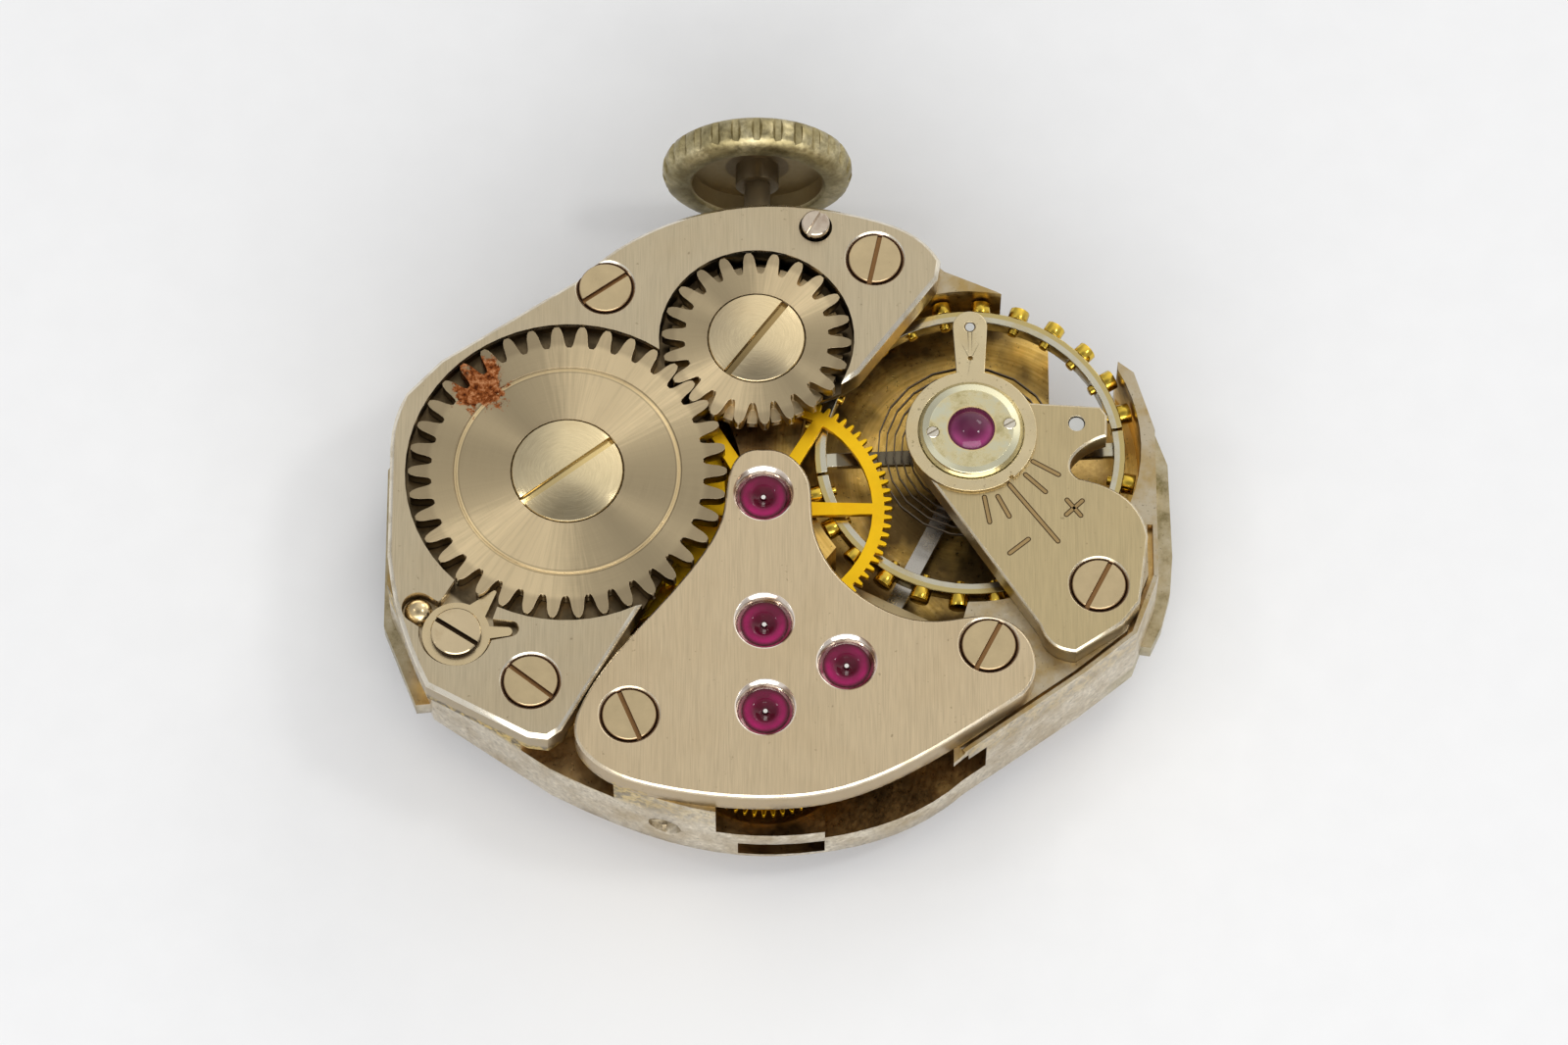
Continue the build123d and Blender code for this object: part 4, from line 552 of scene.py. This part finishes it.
def endpiece():
    """The polished, yellowish setting of the cap jewel, with a wide bevel shaded in by its own slope and
    painted pale as its highlight.
    """
    material, tree, shader, where = start("endpiece")
    radius = around(tree, where, BALANCE)[1]
    patches = noise(tree, where, 1900.0, 5.0, 0.7)
    tone = ramp(tree, patches, (0.34, (0.44, 0.375, 0.18)), (0.5, (0.64, 0.565, 0.335)),
                (0.66, (0.59, 0.585, 0.44)))
    # Painted highlight: the bevel beyond ENDPIECE_BEVEL is painted pale yellow
    slope = step(tree, radius, ENDPIECE_BEVEL, ENDPIECE_BEVEL + 0.04)
    tone = blend(tree, slope, tone, (0.84, 0.80, 0.56))
    seat = step(tree, radius, JEWEL_SEAT, JEWEL_SEAT - 0.04)
    tone = blend(tree, times(tree, seat, 0.6), tone, (0.75, 0.55, 0.25))
    surface(tree, shader, tone, blend(tree, slope, ramp(tree, patches, (0.3, 0.22), (0.7, 0.34)), 0.16))
    beyond = maths(tree, "SUBTRACT", radius, (ENDPIECE_BEVEL + 0.02) * MM)
    fall = times(tree, maths(tree, "MAXIMUM", beyond, 0.0), -0.55)
    bump(tree, shader, patches, 0.12, 0.000002, bump(tree, shader, fall, 1.0, 1.0))
    return material


def ruby(name, places, deep, pale, cup=0.30, curve=-0.85):
    """A polished ruby with a dark middle and a ring whose painted light makes it brighter in front. Its
    middle, out to the cup's radius, is shaded as hollow where the curve's radius is below zero, and else as a
    dome."""
    material, tree, shader, where = start(name)
    depth = noise(tree, where, 2300.0, 2.0, 0.5)
    reach = nearest(tree, where, places)
    across = axes(tree, where)[1]
    # Painted light: each jewel's ring is brightened towards its front, that is towards lower y, with some
    # noise
    south = 0.0
    for place in places:
        near = step(tree, around(tree, where, place)[1], JEWEL_REACH, JEWEL_REACH - 0.02)
        south = maths(tree, "MULTIPLY_ADD", near, maths(tree, "SUBTRACT", place[1] * MM, across), south)
    painted_light = maths(tree, "ADD", maths(tree, "MULTIPLY_ADD", south, 0.75 / MM, 0.42),
                maths(tree, "MULTIPLY_ADD", depth, 0.9, -0.45))
    painted_light = maths(tree, "MINIMUM", maths(tree, "MAXIMUM", painted_light, 0.12), 1.0)
    ring = times(tree, step(tree, reach, 0.20, RING_PEAK), step(tree, reach, 0.52, RING_PEAK))
    rough = ramp(tree, depth, (0.3, 0.03), (0.7, 0.07))
    surface(tree, shader, blend(tree, times(tree, ring, painted_light), deep, pale), rough, 0.0)
    middle = maths(tree, "MINIMUM", reach, cup * MM)
    bump(tree, shader, times(tree, middle, middle, -0.5 / (curve * MM)), 1.0, 1.0)
    shader.inputs["IOR"].default_value = 1.5
    shader.inputs["Specular IOR Level"].default_value = 0.3
    shader.inputs["Transmission Weight"].default_value = 0.2
    return material


def tarnished():
    """The crown's worn brass, olive on its rim, an even brown in the hollow that faces the movement, and
    painted darker round the bore as shade.
    """
    material, tree, shader, where = start("crown")
    middle = middle_of("crown")
    patches = noise(tree, where, 1500.0, 5.0, 0.65)
    fine = noise(tree, where, 9000.0, 4.0, 0.65)
    tone = ramp(tree, patches, (0.30, (0.20, 0.160, 0.070)), (0.5, (0.38, 0.32, 0.165)),
                (0.72, (0.62, 0.54, 0.33)))
    tone = blend(tree, ramp(tree, fine, (0.38, 0.4), (0.58, 0.0)), tone, (0.12, 0.095, 0.04))
    offset = vectors(tree, "SUBTRACT", where, (middle.x, 0, middle.z))
    radius = vectors(tree, "LENGTH", stretched(tree, offset, 1, 0, 1))
    outer_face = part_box("crown")[1].y / MM - CROWN_SHELL
    inner = step(tree, axes(tree, where)[1], outer_face, outer_face - 0.10)
    hollow = times(tree, inner, step(tree, radius, CROWN_HOLLOW, CROWN_HOLLOW - 0.06))
    # Painted shade: the collar round the bore, which the lamps would light, is painted dark brown
    bore_shade = times(tree, inner, step(tree, radius, CROWN_BORE, CROWN_BORE - 0.08))
    tone = blend(tree, hollow, tone, (0.42, 0.335, 0.19))
    tone = blend(tree, bore_shade, tone, (0.22, 0.17, 0.10))
    surface(tree, shader, tone, ramp(tree, fine, (0.3, 0.28), (0.7, 0.5)), 0.9)
    bump(tree, shader, fine, 0.5, 0.00001)
    return material


plate_metal = base_metal()
# The barrel bridge's well colour is the dark brown painted into its recesses as shade
barrel_metal = brushed("barrel_bridge", CHAMPAGNE, BRIDGE_TOP, BARREL_SCREWS, edge_share=0.9,
                       well=(0.17, 0.125, 0.07))
train_metal = brushed("train_bridge", (0.60, 0.480, 0.308), BRIDGE_TOP, TRAIN_SCREWS,
                      [CENTRE, THIRD, FOURTH, ESCAPE], edge_share=0.45)
cock_metal = brushed("cock", (0.505, 0.405, 0.226), COCK_TOP, [COCK_SCREW])
# The ratchet and crown wheels carry painted highlight and shade in wedges, turned 64 and 60 degrees
ratchet_metal = turned("ratchet", STEEL, BARREL, turn=64, tips=3.05, groove=True,
                       rust=(-6.42, 2.70, 0.66, 0.74))
crown_wheel_metal = turned("crown_wheel", STEEL, CROWN_WHEEL, turn=60, tips=1.78)
barrel_hub = turned("ratchet_screw", (0.68, 0.565, 0.345), BARREL, (0.38, 0.255, 0.11), roughness=0.15,
                    anisotropy=0.3, dome=3.8,
                    slot=(top_of("ratchet_wheel_screw") - HUB_SLOT_DEPTH, (0.60, 0.46, 0.21)))
crown_hub = turned("crown_wheel_screw", (0.68, 0.555, 0.34), CROWN_WHEEL, (0.62, 0.46, 0.26), roughness=0.15,
                   anisotropy=0.3, dome=3.8,
                   slot=(top_of("crown_wheel_screw") - HUB_SLOT_DEPTH, (0.30, 0.21, 0.09)))
screw_metal = screw_heads()
small_screw = smooth_metal("small_screws", (0.70, 0.65, 0.55), 0.2, (0.50, 0.38, 0.20))
click_screw_metal = smooth_metal("click_screw", (0.66, 0.53, 0.33), 0.14, (0.36, 0.25, 0.12), 900.0,
                                 below=(top_of("click_screw") - SLOT_DEPTH, (0.05, 0.03, 0.015)))
button_metal = smooth_metal("setting_button", (0.62, 0.53, 0.43), 0.14, (0.24, 0.15, 0.09), 2600.0,
                            stain_share=1.0)
click_metal = smooth_metal("click", (0.67, 0.535, 0.32), 0.24, (0.52, 0.375, 0.17))
lever_metal = smooth_metal("levers", (0.50, 0.47, 0.42), 0.26)
regulator_metal = smooth_metal("regulator", (0.665, 0.555, 0.345), 0.27, (0.56, 0.42, 0.20), speck=0.5,
                               stain_share=0.35)
# Painted highlight: the pinions' tops above the given height are near-white, as polished pivot ends catching
# light; lower down the steel is dark
pinion_metal_with_painted_pivots = smooth_metal("pinions", (0.88, 0.86, 0.82), 0.12, below=(PIVOT_HIGHLIGHT_FROM, (0.26, 0.24, 0.21)))
gilt = smooth_metal("gilt", (1.0, 0.605, 0.018), 0.36, (0.86, 0.44, 0.012))
# Painted shade: the balance arms inside RIM_INNER are painted near-black brown; beyond RIM_OUTER lies the
# rim's own brass band
rim_metal = smooth_metal("balance_rim", (0.58, 0.545, 0.43), 0.22, (0.46, 0.35, 0.13), stain_share=0.75,
                         bounds=(BALANCE, RIM_INNER, (0.15, 0.125, 0.085), RIM_OUTER, (0.50, 0.40, 0.17)))
weights = smooth_metal("balance_screws", (0.76, 0.52, 0.07), 0.16, (0.22, 0.13, 0.02), stain_share=0.8)
stud_metal = smooth_metal("stud", (0.62, 0.62, 0.60), 0.2)
spring_metal = smooth_metal("springs", (0.13, 0.105, 0.08), 0.3)
jewel_stone = ruby("ruby", [CENTRE, THIRD, FOURTH, ESCAPE, BALANCE], (0.095, 0.0, 0.014), (0.58, 0.0, 0.165))
cap_stone = ruby("cap_ruby", [BALANCE], (0.115, 0.012, 0.050), (0.40, 0.05, 0.20), cup=0.50, curve=0.95)
crown_metal = tarnished()
# Painted shade: the steel stem, which lies in the crown's dark hollow, is painted dark brown
stem_in_painted_shade = smooth_metal("stem", (0.22, 0.17, 0.10), 0.5)
engraving = smooth_metal("engraving", (0.40, 0.275, 0.125), 0.4)
engraving_edge = smooth_metal("engraving_edge", (0.085, 0.055, 0.028), 0.5)

FINISHES = {
    plate_metal: ["main_plate"],
    barrel_metal: ["barrel_bridge"],
    train_metal: ["train_bridge"],
    cock_metal: ["balance_cock", "pallet_cock"],
    ratchet_metal: ["ratchet_wheel"],
    crown_wheel_metal: ["crown_wheel", "crown_wheel_seat"],
    barrel_hub: ["ratchet_wheel_screw"],
    crown_hub: ["crown_wheel_screw"],
    screw_metal: ["bridge_screws"],
    small_screw: ["endpiece_screws", "dial_screw", "yoke_pin", "motion_studs"],
    click_screw_metal: ["click_screw"],
    button_metal: ["setting_lever_screw"],
    click_metal: ["click", "click_spring"],
    lever_metal: ["setting_lever", "setting_lever_stud", "yoke", "keyless_cover", "pallet_fork",
                  "winding_pinion", "sliding_pinion", "escape_wheel"],
    stem_in_painted_shade: ["winding_stem"],
    regulator_metal: ["regulator"],
    pinion_metal_with_painted_pivots: ["barrel_arbor", "centre_pinion", "third_pinion", "fourth_pinion", "escape_pinion",
                 "pallet_staff", "balance_staff", "cannon_pinion"],
    gilt: ["barrel_drum", "barrel_cover", "centre_wheel", "third_wheel", "fourth_wheel", "minute_wheel",
           "hour_wheel", "setting_wheel", "balance_roller", "hairspring_collet"],
    rim_metal: ["balance_wheel"],
    weights: ["balance_screws"],
    endpiece(): ["endpiece_setting"],
    stud_metal: ["hairspring_stud"],
    spring_metal: ["mainspring", "hairspring"],
    jewel_stone: ["pallet_stones", "impulse_pin", "bridge_jewels", "cock_jewel", "plate_jewels"],
    cap_stone: ["cap_jewel"],
    crown_metal: ["crown"],
}

# Widths of the softened edges, in millimetres: the finest pieces, the toothed wheels and the rest
FINE_EDGE = 0.004
TOOTH_EDGE = 0.009
PLAIN_EDGE = 0.016
SHARP_FROM = math.radians(32)
FINE = {"hairspring", "endpiece_screws", "cap_jewel", "bridge_jewels", "pallet_stones", "impulse_pin",
        "hairspring_collet"}
TOOTHED = {"ratchet_wheel", "crown_wheel", "centre_wheel", "third_wheel", "fourth_wheel", "escape_wheel"}


def dress(node, material):
    """A node's material, softened edges and smooth shading."""
    o = nodes[node]
    o.data.materials.clear()
    o.data.materials.append(material)
    weld = o.modifiers.new("weld", "WELD")
    weld.merge_threshold = 0.0000004
    bevel = o.modifiers.new("bevel", "BEVEL")
    bevel.width = (FINE_EDGE if node in FINE else TOOTH_EDGE if node in TOOTHED else PLAIN_EDGE) * MM
    bevel.segments = 2
    bevel.limit_method = "ANGLE"
    bevel.angle_limit = SHARP_FROM
    o.data.shade_smooth()
    o.data.set_sharp_from_angle(angle=SHARP_FROM)
    normals = o.modifiers.new("normals", "WEIGHTED_NORMAL")
    normals.keep_sharp = True
    normals.weight = 80


for material, names in FINISHES.items():
    for name in names:
        dress(name, material)


# Pieces that only the scene has, in millimetres

def pin(bm, place, radius, z, height):
    """A slightly tapered round pin standing on a height."""
    upright = Matrix.Translation((place[0] * MM, place[1] * MM, (z + height / 2) * MM))
    bmesh.ops.create_cone(bm, cap_ends=True, segments=24, radius1=radius * MM, radius2=radius * MM * 0.92,
                          depth=height * MM, matrix=upright)


def stroke(bm, first, last, width, z, height):
    """A thin bar with round ends between two places in plan."""
    a, b = Vector((*first, 0)), Vector((*last, 0))
    along = (b - a).normalized()
    side = Vector((-along.y, along.x, 0))
    ends = []
    for centre, turn in ((a, 90), (b, -90)):
        for i in range(7):
            spin = math.radians(turn + 180 * i / 6)
            ends.append(centre + (along * math.cos(spin) + side * math.sin(spin)) * width / 2)
    low = [bm.verts.new((p.x * MM, p.y * MM, z * MM)) for p in ends]
    high = [bm.verts.new((p.x * MM, p.y * MM, (z + height) * MM)) for p in ends]
    bm.faces.new(high)
    bm.faces.new(low[::-1])
    for i in range(len(ends)):
        j = (i + 1) % len(ends)
        bm.faces.new((low[i], low[j], high[j], high[i]))


def add_mesh(name, bm, material, body):
    mesh = bpy.data.meshes.new(name)
    bmesh.ops.recalc_face_normals(bm, faces=bm.faces)
    bm.to_mesh(mesh)
    bm.free()
    made = bpy.data.objects.new(name, mesh)
    bpy.context.scene.collection.objects.link(made)
    made.data.materials.append(material)
    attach(made, body)


# Engraved marks on the balance cock: the index line, two strokes over it and two under it, a plus and a minus
INDEX_MARKS = [
    ((5.52, 0.25), (6.58, -1.13)), ((6.05, 0.83), (6.62, 0.50)), ((5.88, 0.50), (6.32, 0.08)),
    ((5.25, -0.03), (5.50, -0.52)), ((4.95, -0.05), (5.06, -0.66)),
    ((6.78, -0.48), (7.14, -0.14)), ((7.10, -0.50), (6.80, -0.12)), ((5.50, -1.42), (5.92, -1.08)),
]
MARK_SUNK = 0.001
for name, width, proud, material in (("index_edges", 0.122, 0.0008, engraving_edge),
                                     ("index_marks", 0.070, 0.0016, engraving)):
    marks = bmesh.new()
    for first, last in INDEX_MARKS:
        stroke(marks, first, last, width, COCK_TOP - MARK_SUNK, MARK_SUNK + proud)
    add_mesh(name, marks, material, "plate")

# The steel pin held in the regulator's tail
PIN_REACH = 2.59
PIN_RADIUS = 0.112
PIN_LIFT = 0.02
PIN_HEIGHT = 0.09
pins = bmesh.new()
pin(pins, (BALANCE[0], BALANCE[1] + PIN_REACH), PIN_RADIUS, COCK_TOP + PIN_LIFT, PIN_HEIGHT)
add_mesh("regulator_pin", pins, stud_metal, "regulator")


# Stage

def paper():
    """White paper with a painted pool of light in front of the movement, which weakens its shadow there."""
    material, tree, shader, where = start("floor")
    grain = noise(tree, where, 900.0, 3.0, 0.5)
    sheet = ramp(tree, grain, (0.3, (0.785, 0.79, 0.80)), (0.7, (0.80, 0.805, 0.815)))
    # Painted light: a paler patch of paper in front of the movement
    reach = vectors(tree, "DISTANCE", where, (-0.0020, -0.0085, 0.0))
    tone = blend(tree, ramp(tree, reach, (0.0020, 1.0), (0.0056, 0.0)), sheet, 0.86)
    surface(tree, shader, tone, 0.9, 0.0)
    shader.inputs["Specular IOR Level"].default_value = 0.2
    return material


bpy.ops.mesh.primitive_plane_add(size=2.0, location=(0, 0, cad_low.z))
floor = bpy.context.object
floor.name = "floor"
floor.data.materials.append(paper())


# Light and camera

def lamp(name, place, target, size, power, colour):
    light = bpy.data.lights.new(name, "AREA")
    light.shape = "RECTANGLE"
    light.size, light.size_y = size
    light.energy = power
    light.color = colour
    made = bpy.data.objects.new(name, light)
    bpy.context.scene.collection.objects.link(made)
    made.location = place
    made.rotation_euler = (Vector(target) - Vector(place)).to_track_quat("-Z", "Y").to_euler()


lamp("right", (0.170, 0.010, 0.250), (0, 0, 0), (0.040, 0.040), 0.085, (1.0, 0.99, 0.96))
lamp("left", (-0.165, 0.020, 0.250), (0, 0, 0), (0.030, 0.030), 0.030, (1.0, 0.99, 0.97))
lamp("window", (0.15, 0.23, 0.15), (0, 0, 0), (0.10, 0.08), 0.09, (1.0, 0.99, 0.97))
lamp("front", (0.02, -0.27, 0.13), (0, -0.01, 0), (0.46, 0.18), 0.86, (1.0, 0.995, 0.985))

# The room's bright and dark parts: direction, nearness where the part begins and is full, and colour
ROOM = (0.80, 0.805, 0.815)
ROOM_PARTS = [
    ((0.50, 0.72, 0.48), 0.62, 0.96, (1.30, 1.27, 1.20)),
    ((0.0, -0.20, 0.98), 0.87, 0.98, (0.34, 0.34, 0.35)),
    ((-0.75, 0.60, 0.30), 0.70, 0.97, (0.50, 0.50, 0.52)),
    ((0.80, -0.35, 0.50), 0.75, 0.97, (0.55, 0.55, 0.56)),
]
world = bpy.data.worlds.new("studio")
bpy.context.scene.world = world
world.use_nodes = True
room = world.node_tree
ray = put(room, "ShaderNodeTexCoord").outputs["Generated"]
sky = ROOM
for direction, begins, full, colour in ROOM_PARTS:
    near = vectors(room, "DOT_PRODUCT", ray, tuple(Vector(direction).normalized()))
    sky = blend(room, ramp(room, near, (begins, 0.0), (full, 1.0)), sky, colour)
link(room, sky, room.nodes["Background"].inputs["Color"])
room.nodes["Background"].inputs["Strength"].default_value = 0.93

camera_data = bpy.data.cameras.new("camera")
camera_data.lens = 150.525
camera_data.sensor_width = 36.0
camera_data.clip_start = 0.005
camera = bpy.data.objects.new("camera", camera_data)
camera.location = (0.000461, -0.060307, 0.13703)
camera.rotation_euler = (math.radians(24), 0, 0)
bpy.context.scene.collection.objects.link(camera)
bpy.context.scene.camera = camera
bpy.context.scene.view_settings.view_transform = "Standard"
